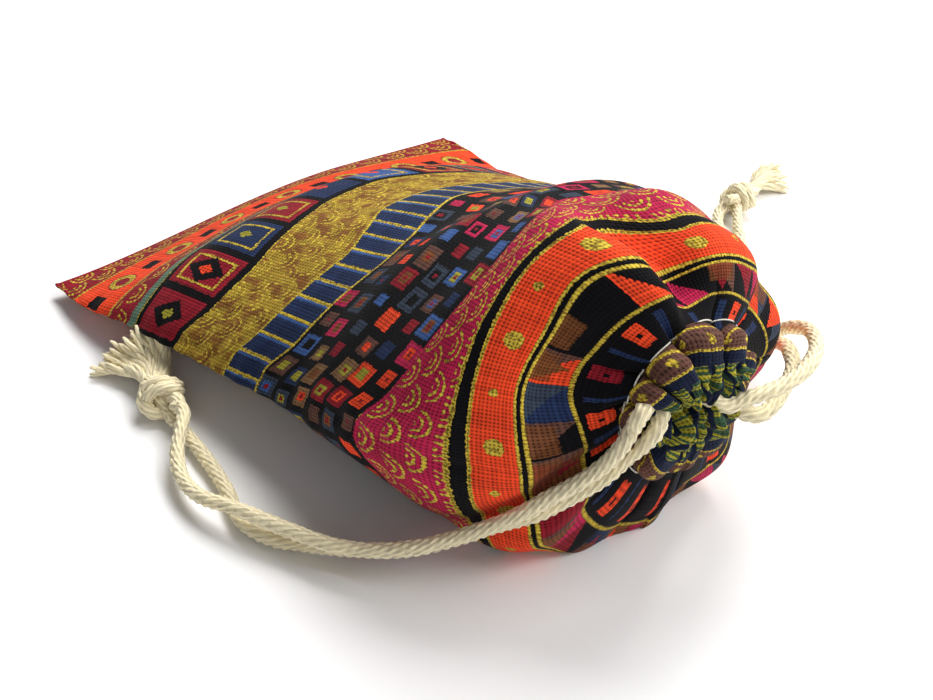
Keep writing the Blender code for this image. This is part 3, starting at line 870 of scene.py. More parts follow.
@dataclass
class PouchForm:
    """The filled cloth's shape, which the body, the casing and the stitches share.

    Lengths are in millimetres, and a turn is a share of the way round.
    """

    seam_lift: float = 8.0
    seam_round: float = 1.2
    ridge_height: float = 3.8
    ridge_valley: float = 4.4
    shoulder: float = 1.5
    under_fold: float = 1.8
    crease: float = 0.35
    pucker_pitch: float = 5.5
    petal_overlap: float = 1.5
    ruffle_pitch: float = 3.7
    smooth_rows: int = 15
    valleys: tuple[float, ...] = (0.04, 0.157, 0.237, 0.307, 0.362, 0.442, 0.552, 0.656, 0.735, 0.825,
                                  0.893, 0.965)

    def section(self, run: Array, turn: Array) -> Array:
        """Unfolded surface: two lens halves, |cos a|^taper high and sin a wide, even by arc length.

        Args:
            run: Distances along the cloth; below 0 they round the seam's edge.
            turn: Places round it.

        Returns:
            Points, millimetres, one row for each run.
        """
        table = np.array([astuple(station) for station in STATIONS])
        at = np.maximum(run, 0.0)
        x, lag, side, half, level, rise, drop, taper = (
            smooth_curve(table[:, 0], table[:, k], at)[:, None] for k in range(1, 9))
        angle = np.linspace(-np.pi, np.pi, 1441)[None]
        cosine = np.cos(angle)
        z = np.where(cosine >= 0, rise, drop) * np.sign(cosine) * np.abs(cosine) ** taper
        y = half * np.sin(angle)
        step = np.hypot(np.diff(y, axis=1), np.diff(z, axis=1))
        length = running_total(step)
        length /= length[:, -1:]
        y, z = interp_rows(turn, length, y), interp_rows(turn, length, z)
        edge = np.clip(-run / self.seam_round, 0.0, 1.0)[:, None]
        z = z * np.maximum(np.cos(edge * np.pi / 2), 0.04)
        lift = self.seam_lift * ease(y + side, -STATIONS[0].half - 9.5, 14.0)
        z = z + level + np.exp(-((at / 20.0) ** 2))[:, None] * lift
        crown = np.clip(-np.cos(2 * np.pi * turn), 0.0, 1.0)[None]
        return np.stack([x - lag * crown - np.sin(edge * np.pi / 2), y + side, z], axis=-1)

    def petal_share(self, turn: Array) -> tuple[Array, Array, Array]:
        """Where a place lies between the drawn stitches on either side of it.

        Args:
            turn: Places round the mouth.

        Returns:
            The turn of the valley before, that of the valley after, and the share of the way, 0 to 1.
        """
        starts = np.array(self.valleys)
        i = np.searchsorted(starts, turn % 1.0, side="right") - 1
        begin = starts[i]
        end = np.append(starts, starts[0] + 1.0)[i + 1]
        begin = np.where(i < 0, starts[-1] - 1.0, begin)
        end = np.where(i < 0, starts[0], end)
        return begin, end, np.clip((turn % 1.0 - begin) / (end - begin), 0.0, 1.0)

    def petals(self, turn: Array) -> tuple[Array, Array, Array]:
        """The gathers between the drawn stitches: flat-topped ridges, (4u(1-u))^0.4, with sharp valleys.

        Args:
            turn: Places round the mouth.

        Returns:
            The single ridges, the ridges split in two, both about 0, and each place's ridge height.
        """
        begin, end, u = self.petal_share(turn)
        single = (4 * u * (1 - u)) ** 0.4
        half = (u * 2.0) % 1.0
        split = (4 * half * (1 - half)) ** 0.55
        wide = (end - begin) * 2 * np.pi * 11.0
        height = np.clip(0.46 * wide, 1.6, 3.2)
        mixed = np.where(wide > 5.0, split, single) * (1.0 + 0.3 * np.sin(17.0 * begin))
        return single - 0.6, mixed - 0.5, height

    def folds(self, run: Array, turn: Array) -> Array:
        """Height of the folds and gathers along the surface's normal.

        Sums of bells across the turn, each let in along the run by a smooth step: the crown's ridge
        and its valley, the shoulder, the fold low on the left, the folds out of sight, the side
        seams' creases and puckers, and the gathers at the mouth.

        Args:
            run, turn: The cloth's coordinates.

        Returns:
            Heights, millimetres.
        """
        s, q = run[:, None], turn[None]
        ending = 1 - ease(s, 128, 139.5)
        ridge_line = np.interp(s, [85, 100, 120, 130, 140], [0.475, 0.470, 0.466, 0.464, 0.455])
        u = q - ridge_line
        d = spell(s, 86, 122, 131, 139.5) * (self.ridge_height * bell(u / np.where(u < 0, 0.034, 0.014))
                                             - self.ridge_valley * bell((u - 0.042) / 0.022))
        d = d + ease(s, 84, 112) * ending * self.shoulder * bell((q - 0.57) / 0.04)
        line = np.interp(s, [90, 115, 129, 138], [0.13, 0.16, 0.214, 0.236])
        d = d + ease(s, 98, 124) * ending * bells(q - line, (-2.6, 0.0, 0.018), (1.8, -0.04, 0.022),
                                                  (1.0, 0.045, 0.03))
        d = d - ease(s, 112, 131) * ending * 2.8 * bell((q - 0.35) / 0.034)
        for place, share in ((0.66, -0.9), (0.72, 0.8), (0.80, -1.0), (0.87, 0.8), (0.94, -0.9),
                             (0.04, -0.7)):
            near = (q - place + 0.5) % 1.0 - 0.5
            d = d + ease(s, 98, 126) * ending * share * self.under_fold * bell(near / 0.022)
        for place in (0.25, 0.75):
            d = d - self.crease * bell((q - place) / 0.0035) * (1 - ease(s, 120, 138))
            puckers = np.cos(2 * np.pi * s / self.pucker_pitch) * (1 - ease(s, 100, 125))
            d = d + 0.16 * puckers * bell((q - place) / 0.02)
        soft = (np.sin(2 * np.pi * (2.3 * q + s / 61.0)) * np.sin(2 * np.pi * (s / 47.0 - 1.4 * q))
                + 0.6 * np.sin(2 * np.pi * (5.2 * q - s / 38.0 + 0.3)))
        d = d + 0.30 * soft * ease(s, 4, 30) * ending
        single, mixed, height = self.petals(turn)
        inner = ease(s, 147, 157)
        d = d + spell(s, 128, 141, 161, 166) * height * ((1 - inner) * single + inner * mixed)
        swell = bells(q, (0.8, 0.33, 0.06), (0.4, 0.45, 0.05), (1.2, 0.98, 0.06), (1.0, 0.03, 0.05),
                      (-1.2, 0.68, 0.05))
        d = d + bell((s - 138.0) / 5.0) * swell
        crumple = (np.sin(2 * np.pi * (9.0 * q + 0.07 * s)) * np.sin(2 * np.pi * (0.13 * s - 2.0 * q))
                   + 0.4 * np.sin(2 * np.pi * (17.0 * q - 0.05 * s + 0.2)))
        d = d + 0.65 * crumple * spell(s, 145, 151, 160, 165)
        return d - spell(s, 141, 147, 158, 163) * bells(q, (2.4, 0.262, 0.02), (2.4, 0.745, 0.02))

    def surface(self, run: Array, turn: Array) -> Array:
        """Folded surface: the section moved along its normal by the folds, and flat on the table.

        Args:
            run, turn: The cloth's coordinates.

        Returns:
            Points, metres, one row for each run.
        """
        points = self.section(run, turn)
        aside, ahead = 1e-3, 0.2
        around = self.section(run, (turn + aside) % 1.0) - self.section(run, (turn - aside) % 1.0)
        along = (self.section(np.maximum(run, 0.0) + ahead, turn)
                 - self.section(np.maximum(run, ahead) - ahead, turn))
        normal = unit(np.cross(around, along))
        outward = ((points - points.mean(axis=1, keepdims=True)) * normal).sum(axis=-1).mean()
        normal *= 1.0 if outward > 0 else -1.0
        points = points + normal * self.folds(run, turn)[..., None]
        begin, _, share = self.petal_share(turn)
        slant = (share - 0.5) * np.where(begin < 0.45, 1.0, -1.0) + 0.5 * np.sin(23.0 * begin)
        points[..., 0] += spell(run, 137.0, 141.0, 158.0, 164.0)[:, None] * self.petal_overlap * slant
        points[..., 2] = np.maximum(points[..., 2], 0.0)
        return points * MM + SHIFT

    def shown_turn(self, turn: Array, points: Array) -> Array:
        """Where round the flat cloth's print the casing's points lie.

        Each petal shows its middle at the cloth's own scale, by the length along its row, and the
        rest of the cloth is folded into the valleys.

        Args:
            turn: Places round the mouth, evenly from 0.
            points: The casing's points, metres, one row for each run.

        Returns:
            The print's turns, one row for each run.
        """
        begin, end, _ = self.petal_share(turn)
        middle = (begin + end) / 2 % 1.0
        columns = middle * CLOTH_ROUND / self.ruffle_pitch
        aligned = np.where(end - begin > 0.072, np.round(columns), np.floor(columns) + 0.5)
        step = np.linalg.norm(np.roll(points, -1, axis=1) - points, axis=-1) / MM
        length = running_total(step)
        whole = length[:, -1:]
        off = length[:, :-1] - interp_rows(middle, np.append(turn, 1.0), length)
        off = (off + whole / 2) % whole - whole / 2
        reach = self.smooth_rows // 2
        padded = np.pad(off, ((reach, reach), (0, 0)), "edge")
        off = sum(padded[i:i + len(off)] for i in range(self.smooth_rows)) / self.smooth_rows
        return (aligned[None] * self.ruffle_pitch + off) / CLOTH_ROUND

    def printed_run(self, run: Array, turn: Array) -> Array:
        """Where on the flat cloth's print each point of the form lies, by the drift of the lines.

        Args:
            run, turn: The form's coordinates.

        Returns:
            The print's run, millimetres, one row for each run.
        """
        own = np.array([line[0] for line in PRINT_DRIFT])
        seen = np.array([line[1] for line in PRINT_DRIFT])
        at = np.stack([smooth_curve(np.array((0.0, *DRIFT_TURNS, 1.0)), np.array((o, *row, o)), turn)
                       for o, row in zip(own, seen)])
        gap = np.diff(at, axis=0)
        s = np.clip(run, 0.0, CLOTH_LENGTH)[:, None]
        share = np.clip((s[None] - at[:-1, None]) / gap[:, None], 0.0, 1.0)
        beyond = np.minimum(run, 0.0) + np.maximum(run - CLOTH_LENGTH, 0.0)
        return (share * np.diff(own)[:, None, None]).sum(axis=0) + beyond[:, None]


@dataclass
class PouchCloth:
    """The bag's body, from the bottom seam to just under the casing."""

    form: PouchForm
    finish: Finish
    columns: int = 400
    long_rows: int = 106
    mouth_rows: int = 118
    mouth_start: float = 98.0
    end: float = 140.4

    def build(self) -> Piece:
        """Lay the grid over the form and close it at the seam and inside the mouth.

        Returns:
            The cloth's object.
        """
        run = np.concatenate([np.linspace(-self.form.seam_round, 0.0, 5, endpoint=False),
                              np.linspace(0.0, self.mouth_start, self.long_rows, endpoint=False),
                              np.linspace(self.mouth_start, self.end, self.mouth_rows)])
        turn = np.arange(self.columns) / self.columns
        points = self.form.surface(run, turn)
        points[-1, :, 0] -= 0.6 * MM
        centre = points[-1].mean(axis=0)
        funnel = centre + (points[-1] - centre) * 0.6 - np.array([2.0 * MM, 0.0, 0.0])
        points = np.concatenate([points, funnel[None]])
        rows = len(points)
        printed = self.form.printed_run(run, np.append(turn, 1.0)) / CLOTH_LENGTH
        printed = np.concatenate([printed, printed[-1:]])
        face, row, column = quads(rows, self.columns)
        corner = np.stack([printed[row, column], column / self.columns], axis=-1)
        quarter, half = self.columns // 4, self.columns // 2
        j = np.arange(-quarter, quarter)
        strip = np.stack([(j + 1) % self.columns, j % self.columns, (half - j) % self.columns,
                          (half - j - 1) % self.columns], axis=-1)[1:-1]
        strip_corner = np.zeros((*strip.shape, 2))
        strip_corner[..., 1] = strip / self.columns
        side_j = np.array([-quarter, quarter - 1])
        side = np.stack([(side_j + 1) % self.columns, side_j % self.columns,
                         (half - side_j - 1) % self.columns], axis=-1)
        side[1] = [quarter, quarter - 1, half - quarter + 1]
        side_corner = np.zeros((*side.shape, 2))
        side_corner[..., 1] = side / self.columns
        tip = rows * self.columns
        k = np.arange(self.columns)
        fan = np.stack([np.full(self.columns, tip), (rows - 1) * self.columns + (k + 1) % self.columns,
                        (rows - 1) * self.columns + k][::-1], axis=-1)
        fan_corner = np.full((*fan.shape, 2), HIDDEN_CLOTH)
        vertices = np.vstack([points.reshape(-1, 3), points[-1].mean(axis=0)[None]])
        obj = add_piece("pouch_cloth", vertices, [face, strip, np.vstack([side, fan])],
                        [corner, strip_corner, np.vstack([side_corner, fan_corner])])
        obj.data.materials.append(self.finish)
        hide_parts("pouch_body")
        return obj


@dataclass
class DrawnCasing:
    """The folded hem that holds the cords, gathered into petals and ruffles."""

    form: PouchForm
    finish: Finish
    columns: int = 720
    rows: int = 96
    start: float = 139.4
    end: float = 166.0

    def build(self) -> Piece:
        """Lay a finer grid over the mouth, from the stitch line over the drawn edge and inwards.

        Returns:
            The casing's object.
        """
        run = np.linspace(self.start, self.end, self.rows)
        turn = np.arange(self.columns) / self.columns
        points = self.form.surface(run, turn)
        printed = self.form.printed_run(run, np.append(turn, 1.0)) / CLOTH_LENGTH
        shown = self.form.shown_turn(turn, points)
        face, row, column = quads(self.rows, self.columns)
        corner = np.stack([printed[row, column], shown[row, column % self.columns]], axis=-1)
        middle, back = self.rows * self.columns, self.rows * self.columns + 1
        k = np.arange(self.columns)
        k_next = (k + 1) % self.columns
        last = (self.rows - 1) * self.columns
        fan = np.concatenate([np.stack([last + k, last + k_next, np.full(self.columns, middle)], axis=-1),
                              np.stack([k_next, k, np.full(self.columns, back)], axis=-1)])
        fan_corner = np.full((*fan.shape, 2), HIDDEN_CLOTH)
        vertices = np.vstack([points.reshape(-1, 3), points[-1].mean(axis=0)[None],
                              points[0].mean(axis=0)[None] - [[1.5 * MM, 0.0, 0.0]]])
        obj = add_piece("drawn_casing", vertices, [face, fan], [corner, fan_corner])
        obj.data.materials.append(self.finish)
        return obj


@dataclass
class RunningStitch:
    """The white thread that closes the casing, as long stitches that follow the gathers."""

    form: PouchForm
    run: float = 137.9
    stitch: float = 4.7
    gap: float = 1.3
    radius: float = 0.13
    proud: float = 0.3
    taut: float = 0.35

    def build(self) -> Piece:
        """Cut the gathered line into stitches and sweep a round thread along each.

        A stitch stands proud by the square root of a half sine, so both its ends dive into the cloth.

        Returns:
            The thread's object.
        """
        turn = np.linspace(0.0, 1.0, 2401)
        before, line, after = self.form.surface(self.run + np.array([-0.5, 0.0, 0.5]), turn % 1.0)
        normal = unit(np.cross(np.gradient(line, axis=0), after - before))
        normal *= np.sign(((line - line.mean(axis=0)) * normal).sum())
        length = travelled(line) / MM
        count = int(length[-1] // (self.stitch + self.gap))
        pitch = length[-1] / count
        angle = np.linspace(0, 2 * np.pi, 8, endpoint=False)[:, None]
        tubes = []
        for number in range(count):
            place = number * pitch + np.linspace(0.0, self.stitch, 18)
            centre = np.stack([np.interp(place, length, line[:, k]) for k in range(3)], axis=1)
            out = unit(np.stack([np.interp(place, length, normal[:, k]) for k in range(3)], axis=1))
            share = np.linspace(0.0, 1.0, len(place))[:, None]
            chord = centre[:1] * (1 - share) + centre[-1:] * share
            centre = centre * (1 - self.taut) + chord * self.taut
            lift = np.sqrt(np.sin(np.linspace(0.0, np.pi, len(centre)))) * (self.proud + self.radius) - 0.12
            centre = centre + out * lift[:, None] * MM
            side = unit(np.cross(unit(np.gradient(centre, axis=0)), out))
            ring = np.cos(angle) * out[:, None] + np.sin(angle) * side[:, None]
            tubes.append(centre[:, None] + ring * self.radius * MM)
        obj = add_tubes("casing_stitches", tubes, [self.stitch] * count)
        obj.data.materials.append(StitchThread().material())
        return obj


class LoopSide(Enum):
    """Which side of the casing a loop of cord leaves from."""

    LEFT = "left"
    RIGHT = "right"


@dataclass(frozen=True)
class LoopPlan:
    """Where one loop lies, in millimetres in the stations' coordinates.

    strands holds, for each strand, the point inside the casing that it comes from and then its
    route. knot is the knot's middle, tip the way the frayed end goes, fan the places that the ends
    of its plies reach, and sweep how far ahead and aside the plies head before they bend there.
    """

    strands: tuple[tuple[tuple[float, float, float], ...], ...]
    knot: tuple[float, float, float]
    tip: tuple[float, float, float]
    fan: tuple[tuple[float, float, float], ...]
    sweep: tuple[float, float]


LOOP_PLANS = {
    LoopSide.LEFT: LoopPlan(
        strands=(
            ((118.9, -8.9, 37.2), (120.4, -12.2, 36.6), (119.7, -12.4, 33.8), (119.6, -13.8, 31.2),
             (118.7, -15.6, 27.8), (117.3, -18.3, 24.8), (115.0, -21.7, 21.4), (112.9, -24.8, 18.2),
             (109.6, -28.0, 14.2), (106.1, -31.9, 10.8), (102.9, -36.7, 8.6), (93.8, -45.5, 5.8),
             (86.2, -49.6, 5.0), (77.1, -54.4, 4.9), (69.6, -57.6, 3.6), (63.5, -57.6, 3.0),
             (58.6, -55.9, 3.6), (54.4, -53.0, 4.7), (50.2, -50.8, 4.8)),
            ((119.9, -7.1, 36.5), (121.6, -9.7, 33.2), (120.7, -10.5, 30.6), (119.3, -11.9, 27.6),
             (118.1, -14.3, 24.2), (116.4, -17.1, 21.2), (114.7, -19.8, 18.8), (112.9, -22.1, 16.4),
             (110.6, -24.1, 14.1), (107.8, -26.3, 11.5), (105.4, -29.1, 9.2), (103.0, -32.5, 7.3),
             (98.5, -38.3, 4.9), (92.9, -43.5, 3.2), (87.6, -47.7, 2.0), (83.3, -51.2, 1.5),
             (76.5, -53.6, 1.5), (70.4, -52.4, 1.5), (65.0, -51.8, 1.5), (59.3, -51.6, 1.5),
             (54.1, -51.6, 1.45), (49.2, -51.8, 1.45)),
        ),
        knot=(44.4, -52.0, 4.0),
        tip=(28.2, -54.4, 4.2),
        fan=((26.4, -57.6, 1.3), (25.6, -55.0, 2.4), (25.7, -53.0, 3.8), (26.9, -50.9, 6.4),
             (27.5, -48.6, 8.2), (30.1, -46.6, 9.8)),
        sweep=(8.4, -5.0),
    ),
    LoopSide.RIGHT: LoopPlan(
        strands=(
            ((120.3, 0.4, 34.8), (122.7, 4.8, 32.4), (123.3, 7.8, 32.9), (124.2, 12.0, 33.2),
             (123.8, 18.0, 33.0), (119.4, 28.4, 31.0), (112.6, 36.0, 27.6), (106.4, 40.6, 22.6),
             (101.0, 45.4, 16.8), (95.0, 53.0, 10.0), (88.0, 60.4, 5.4), (79.0, 67.8, 2.6),
             (70.0, 74.6, 1.6), (62.5, 80.6, 1.5), (51.4, 90.2, 2.8)),
            ((120.9, 7.4, 29.4), (123.7, 11.2, 28.4), (123.2, 15.0, 28.4), (121.2, 19.6, 28.2),
             (117.9, 25.8, 27.2), (111.6, 32.4, 24.8), (105.6, 37.2, 20.2), (99.6, 42.4, 14.2),
             (93.0, 49.8, 7.8), (85.8, 57.4, 3.6), (76.8, 65.0, 1.8), (67.8, 71.9, 1.5),
             (60.2, 77.9, 1.5), (48.6, 88.3, 2.5)),
        ),
        knot=(47.9, 93.4, 4.0),
        tip=(44.6, 112.0, 2.8),
        fan=((47.9, 112.6, 0.9), (46.2, 113.4, 2.0), (44.8, 113.2, 3.4), (43.2, 112.4, 4.6),
             (41.4, 111.6, 3.2), (40.2, 110.0, 1.4)),
        sweep=(7.5, 0.0),
    ),
}


# The knot's two cords, each in, over, round the back and out: ahead, aside and up from its middle
KNOT_TURNS = (
    (
        (-5.6, -0.4, 0.8), (-3.6, -1.2, 0.9), (-1.8, -1.4, 0.4), (0.2, -1.0, -0.4), (1.6, 0.3, -1.4),
        (1.9, 1.8, -1.3), (1.2, 2.2, 0.4), (0.6, 1.1, 1.8), (-0.4, -0.3, 2.4), (-1.0, -1.9, 1.8),
        (-0.8, -3.2, 0.2), (-0.2, -2.8, -1.6), (0.9, -1.4, -2.4), (2.1, 0.0, -1.5), (3.5, 0.4, -0.2),
        (5.2, 0.7, 0.4),
    ),
    (
        (-5.0, 0.5, -2.5), (-3.0, 0.5, -2.3), (-1.3, 0.3, -1.6), (0.3, 0.2, -0.5), (1.7, -0.9, 0.2),
        (2.1, -2.4, -0.6), (1.3, -3.8, -0.9), (0.3, -3.8, 0.6), (0.5, -2.5, 2.0), (1.2, -0.9, 2.6),
        (2.4, 0.4, 1.7), (3.0, 1.6, 0.2), (2.0, 2.9, -0.7), (0.3, 3.1, -1.4), (-1.1, 2.2, -2.2),
        (-1.2, 0.6, -2.5), (0.2, -0.8, -2.5), (1.8, -0.9, -1.4), (3.4, -0.4, 0.4), (5.2, -0.4, 0.9),
    ),
)


@dataclass
class CordLoop:
    """One loop: two strands of three-ply cotton cord, their shared overhand knot and frayed end.

    Lengths are in millimetres.
    """

    side: LoopSide
    diameter: float = 2.8
    ply_turn: float = 4.7
    valley: float = 0.32
    sides: int = 30
    step: float = 0.4
    knot_tightness: float = 0.94
    yarns_in_ply: int = 7
    yarn_radius: float = 0.47
    ply_reach: float = 0.62

    def place(self, point: Sequence[float]) -> Array:
        """A point of the plan in the frame, metres."""
        return np.array(point, float) * MM + SHIFT

    def cord_rings(self, path: Array, radius: float, sides: int, start: float = 0.0) -> Array:
        """Rings of a three-ply cord along a path.

        The reach at angle a and length l is R(1 - v + v |cos(1.5 (a + 2 pi l / turn))|^0.8), which
        gives three round lobes that wind round the cord, and a fine ripple of the yarns on it.

        Args:
            path: The cord's centre line, metres.
            radius: The lobes' reach, millimetres.
            sides: Points round each ring.
            start: Length at which the path's first point lies on the cord, millimetres.

        Returns:
            Rings of points, metres.
        """
        first, second = carried_frame(path)
        length = (start + travelled(path) / MM)[:, None]
        angle = np.linspace(0, 2 * np.pi, sides, endpoint=False)
        wind = angle + 2 * np.pi * length / self.ply_turn
        reach = 1 - self.valley + self.valley * np.abs(np.cos(1.5 * wind)) ** 0.8
        reach = reach + 0.02 * np.cos(15 * angle - 2 * np.pi * length / 2.1)
        reach = reach + 0.022 * np.sin(7 * angle + 2.3 * length) * np.sin(0.9 * length + 2 * angle)
        reach = reach * (1 + 0.03 * np.sin(length / 3.7 + 1.0) + 0.02 * np.sin(length / 1.9))
        ring = np.cos(angle)[:, None] * first[:, None] + np.sin(angle)[:, None] * second[:, None]
        return path[:, None] + ring * (reach * radius * MM)[..., None]

    def strand(self, letter: str, route: Sequence[Sequence[float]],
               finish: Finish) -> Piece:
        """One strand from inside the casing to just inside the knot.

        Args:
            letter: Which strand, a or b.
            route: Its points, millimetres.
            finish: The cord's material.

        Returns:
            The strand's object.
        """
        plan = LOOP_PLANS[self.side]
        last = np.array(route[-1])
        into = last + (np.array(plan.knot) - last) * 0.35
        path = smooth_path(np.array([self.place(p) for p in (*route, into)]), self.step * MM)
        path[:, 2] = np.maximum(path[:, 2], (self.diameter / 2 + 0.02) * MM)
        rings = self.cord_rings(path, self.diameter / 2 * 0.94, self.sides, 2.0 if letter == "a" else 0.0)
        length = float(travelled(path)[-1])
        name = f"{self.side.value}_strand_{letter}"
        obj = add_tubes(name, [rings], [length / MM])
        obj.data.materials.append(finish)
        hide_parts(f"{self.side.value}_cord_strand_{letter}")
        self.place(route[1]).tolist()
        return obj

    def axes(self) -> Array:
        """The knot's own directions: along the loop to the frayed end, level, and up."""
        plan = LOOP_PLANS[self.side]
        ahead = unit(np.array(plan.tip) - np.array(plan.knot))
        level = unit(np.cross([0.0, 0.0, 1.0], ahead))
        return np.stack([ahead, level, np.cross(ahead, level)])

    def knot(self, finish: Finish) -> Piece:
        """The overhand knot of both strands together: each goes in, over, round the back and out.

        Args:
            finish: The cord's material.

        Returns:
            The knot's object.
        """
        plan, axes = LOOP_PLANS[self.side], self.axes()
        tubes, lengths = [], []
        for turn, points in enumerate(KNOT_TURNS):
            route = self.place(plan.knot) + np.array(points) * self.knot_tightness @ axes * MM
            path = smooth_path(route, self.step * MM)
            path[:, 2] = np.maximum(path[:, 2], 1.25 * MM)
            tubes.append(self.cord_rings(path, self.diameter / 2 * 0.90, 24, 3.0 * turn))
            lengths.append(float(travelled(path)[-1]) / MM)
        obj = add_tubes(f"{self.side.value}_knot", tubes, lengths)
        obj.data.materials.append(finish)
        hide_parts(f"{self.side.value}_cord_knot")
        return obj

    def tassel(self, finish: Finish) -> Piece:
        """The frayed end: the six plies come apart into wavy yarns that fan out.

        A yarn is a cubic from the knot to its own place in the fan, with a slow wave across it, and
        its thickness falls to three fifths over the last 8 percent of its way.

        Args:
            finish: The yarns' material.

        Returns:
            The frayed end's object.
        """
        plan, axes = LOOP_PLANS[self.side], self.axes()
        rng = np.random.default_rng(11 if self.side is LoopSide.LEFT else 29)
        plies = len(plan.fan)
        count = plies * self.yarns_in_ply
        ply = np.repeat(np.arange(plies), self.yarns_in_ply)
        tips = np.array(plan.fan)[ply] + rng.normal(0.0, 0.26, (count, 3))
        tips = tips - axes[0] * rng.uniform(0.0, 2.0, (count, 1))
        across = (0.5 - ply / (plies - 1))[:, None]
        middle = np.array(plan.knot) + axes[1] * across * 2.4
        start = middle + axes[0] * 2.2
        out = middle + axes[0] * plan.sweep[0] + axes[1] * (across * 2.0 + plan.sweep[1])
        back = tips - unit(tips - out) * 6.0
        t = np.linspace(0.0, 1.0, 26)[None, :, None]
        path = ((1 - t) ** 3 * start[:, None] + 3 * (1 - t) ** 2 * t * out[:, None]
                + 3 * (1 - t) * t**2 * back[:, None] + t**3 * tips[:, None])
        place = 2 * np.pi * (np.tile(np.arange(self.yarns_in_ply), plies) / self.yarns_in_ply)[:, None, None]
        lay = place + 5.0 * t + ply[:, None, None]
        spread = self.ply_reach * (1 + 0.5 * ease(t, 0.6, 1.0))
        path = path + (np.cos(lay) * axes[1] + np.sin(lay) * axes[2]) * spread
        waves, phase = rng.uniform(7.0, 12.0, (count, 1, 1)), rng.uniform(0.0, 2 * np.pi, (count, 1, 2))
        wave = 0.4 * t * np.sin(t * waves + phase)
        path = path + wave[..., :1] * axes[1] + wave[..., 1:] * axes[2]
        thick = self.yarn_radius * rng.uniform(0.85, 1.2, (count, 1, 1)) * (1 - 0.4 * ease(t, 0.92, 1.0))
        path[..., 2] = np.maximum(path[..., 2], thick[..., 0])
        tangent = unit(np.gradient(path, axis=1))
        side = unit(np.cross(tangent, axes[2]))
        rise = np.cross(side, tangent)
        angle = np.linspace(0, 2 * np.pi, 9, endpoint=False)[None, None, :, None]
        spin = angle + 2.0 * np.pi * t[:, :, None] * 3.0
        lobes = 1 + 0.16 * np.cos(3 * spin)
        ring = np.cos(angle) * side[:, :, None] + np.sin(angle) * rise[:, :, None]
        rings = (path[:, :, None] + ring * thick[:, :, None] * lobes) * MM + SHIFT
        obj = add_tubes(f"{self.side.value}_frayed_end", list(rings), [16.0] * count)
        obj.data.materials.append(finish)
        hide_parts(f"{self.side.value}_cord_tassel")
        return obj

    def build(self) -> list[Piece]:
        """Make the knot, the frayed end and then the two strands that end in them.

        Returns:
            The loop's pieces.
        """
        plied = CordCotton().material()
        frayed = CordCotton("frayed_cotton_yarn", yarns=3.0, lay_length=5.0, relief=0.00006).material()
        knot, end = self.knot(plied), self.tassel(frayed)
        pieces = [knot, end]
        for letter, route in zip("ab", LOOP_PLANS[self.side].strands):
            pieces.append(self.strand(letter, route, plied))
        return pieces


def stand(obj: Piece, axes: Sequence[Array], place: Sequence[float]) -> None:
    """Put an object into the scene.

    Args:
        obj: A camera or a light.
        axes: Where its X, Y and Z axes point.
        place: Where it stands, metres.
    """
    obj.matrix_world = Matrix([[column[k] for column in (*axes, place)] for k in range(3)] + [[0, 0, 0, 1]])
    bpy.context.scene.collection.objects.link(obj)


@dataclass
class StudioCamera:
    """The camera, at the photograph's place and angle."""

    place: tuple[float, float, float] = (0.142686, -0.109809, 0.1435)
    azimuth: float = 51.0
    elevation: float = 37.4
    roll: float = 4.3
    lens: float = 45.916
    sensor: float = 36.0

    def build(self) -> Piece:
        """Set up the camera and make it the scene's.

        Returns:
            The camera's object.
        """
        a, e, r = np.radians([self.azimuth, self.elevation, self.roll])
        back = np.array([np.sin(a) * np.cos(e), -np.cos(a) * np.cos(e), np.sin(e)])
        right = unit(np.cross(-back, [0.0, 0.0, 1.0]))
        up = np.cross(right, -back)
        across, upright = right * np.cos(r) + up * np.sin(r), up * np.cos(r) - right * np.sin(r)
        data = bpy.data.cameras.new("studio_camera")
        data.lens, data.sensor_width, data.clip_start = self.lens, self.sensor, 0.01
        camera = bpy.data.objects.new("studio_camera", data)
        stand(camera, (across, upright, back), self.place)
        bpy.context.scene.camera = camera
        return camera


@dataclass(frozen=True)
class Softbox:
    """One square studio light: its place and aim in metres, its side and its power."""

    name: str
    place: tuple[float, float, float]
    aim: tuple[float, float, float]
    size: float
    power: float
    colour: tuple[float, float, float]


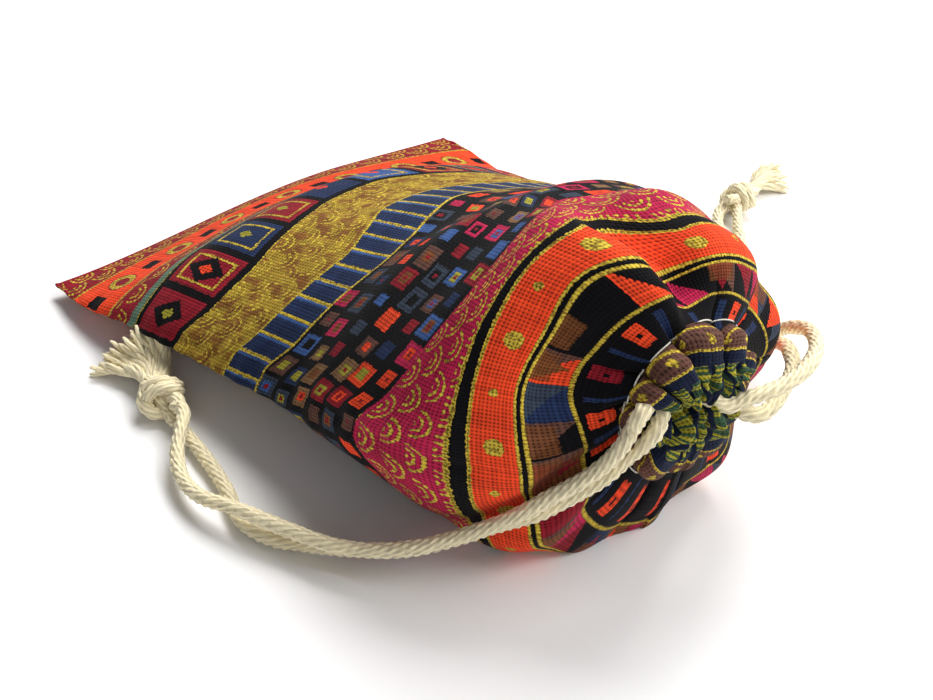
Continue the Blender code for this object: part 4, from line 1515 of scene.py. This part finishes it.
@dataclass
class Studio:
    """The white floor and the soft light round it."""

    world: float = 0.13
    floor_reach: float = 4.0
    boxes: tuple[Softbox, ...] = (
        Softbox("window_light", (-0.42, 0.60, 1.05), (0.0, 0.0, 0.02), 0.7, 18.0, (1.0, 0.99, 0.97)),
        Softbox("side_light", (0.50, 0.62, 0.75), (0.0, 0.0, 0.02), 0.7, 9.0, (1.0, 0.99, 0.98)),
        Softbox("front_light", (0.75, -0.45, 0.5), (0.03, 0.0, 0.02), 0.6, 1.2, (0.97, 0.98, 1.0)),
    )

    def build(self) -> Piece:
        """Make the floor, the lights and the plain surroundings.

        Returns:
            The floor's object.
        """
        for box in self.boxes:
            data = bpy.data.lights.new(box.name, "AREA")
            data.shape, data.size, data.energy, data.color = "SQUARE", box.size, box.power, box.colour
            lamp = bpy.data.objects.new(box.name, data)
            back = unit(np.array(box.place) - np.array(box.aim))
            across = unit(np.cross([0.0, 0.0, 1.0] if abs(back[2]) < 0.98 else [0.0, 1.0, 0.0], back))
            stand(lamp, (across, np.cross(back, across), back), box.place)
        surroundings = bpy.data.worlds.new("white_room")
        surroundings.use_nodes = True
        sky = surroundings.node_tree.nodes["Background"]
        sky.inputs["Color"].default_value = (0.97, 0.975, 1.0, 1.0)
        sky.inputs["Strength"].default_value = self.world
        bpy.context.scene.world = surroundings
        bpy.context.scene.view_settings.view_transform = "Standard"
        count = 9
        reach = np.linspace(-self.floor_reach, self.floor_reach, count)
        x, y = np.meshgrid(reach, reach, indexing="ij")
        points = np.stack([x, y, np.full_like(x, -0.00004)], axis=-1).reshape(-1, 3)
        i, j = np.meshgrid(np.arange(count - 1), np.arange(count - 1), indexing="ij")
        near, far = i * count + j, (i + 1) * count + j
        face = np.stack([near, far, far + 1, near + 1], axis=-1).reshape(-1, 4)
        mesh = bpy.data.meshes.new("paper_floor")
        mesh.from_pydata(points.tolist(), [], face.tolist())
        floor = bpy.data.objects.new("paper_floor", mesh)
        floor.data.materials.append(StudioPaper().material())
        bpy.context.scene.collection.objects.link(floor)
        return floor


def main() -> None:
    """Build the pouch, its cords and its stage in order, and report each piece."""
    logging.basicConfig(level=logging.INFO, format="%(name)s: %(message)s")
    cotton = PrintedCotton().material()
    form = PouchForm()
    StudioCamera().build()
    for side in LoopSide:
        for piece in CordLoop(side).build():
            LOG.info("%s, %d faces", piece.name, len(piece.data.polygons))
    for part in (PouchCloth(form, cotton), DrawnCasing(form, cotton), RunningStitch(form), Studio()):
        piece = part.build()
        LOG.info("%s, %d faces", piece.name, len(piece.data.polygons))


if __name__ == "__main__":
    main()
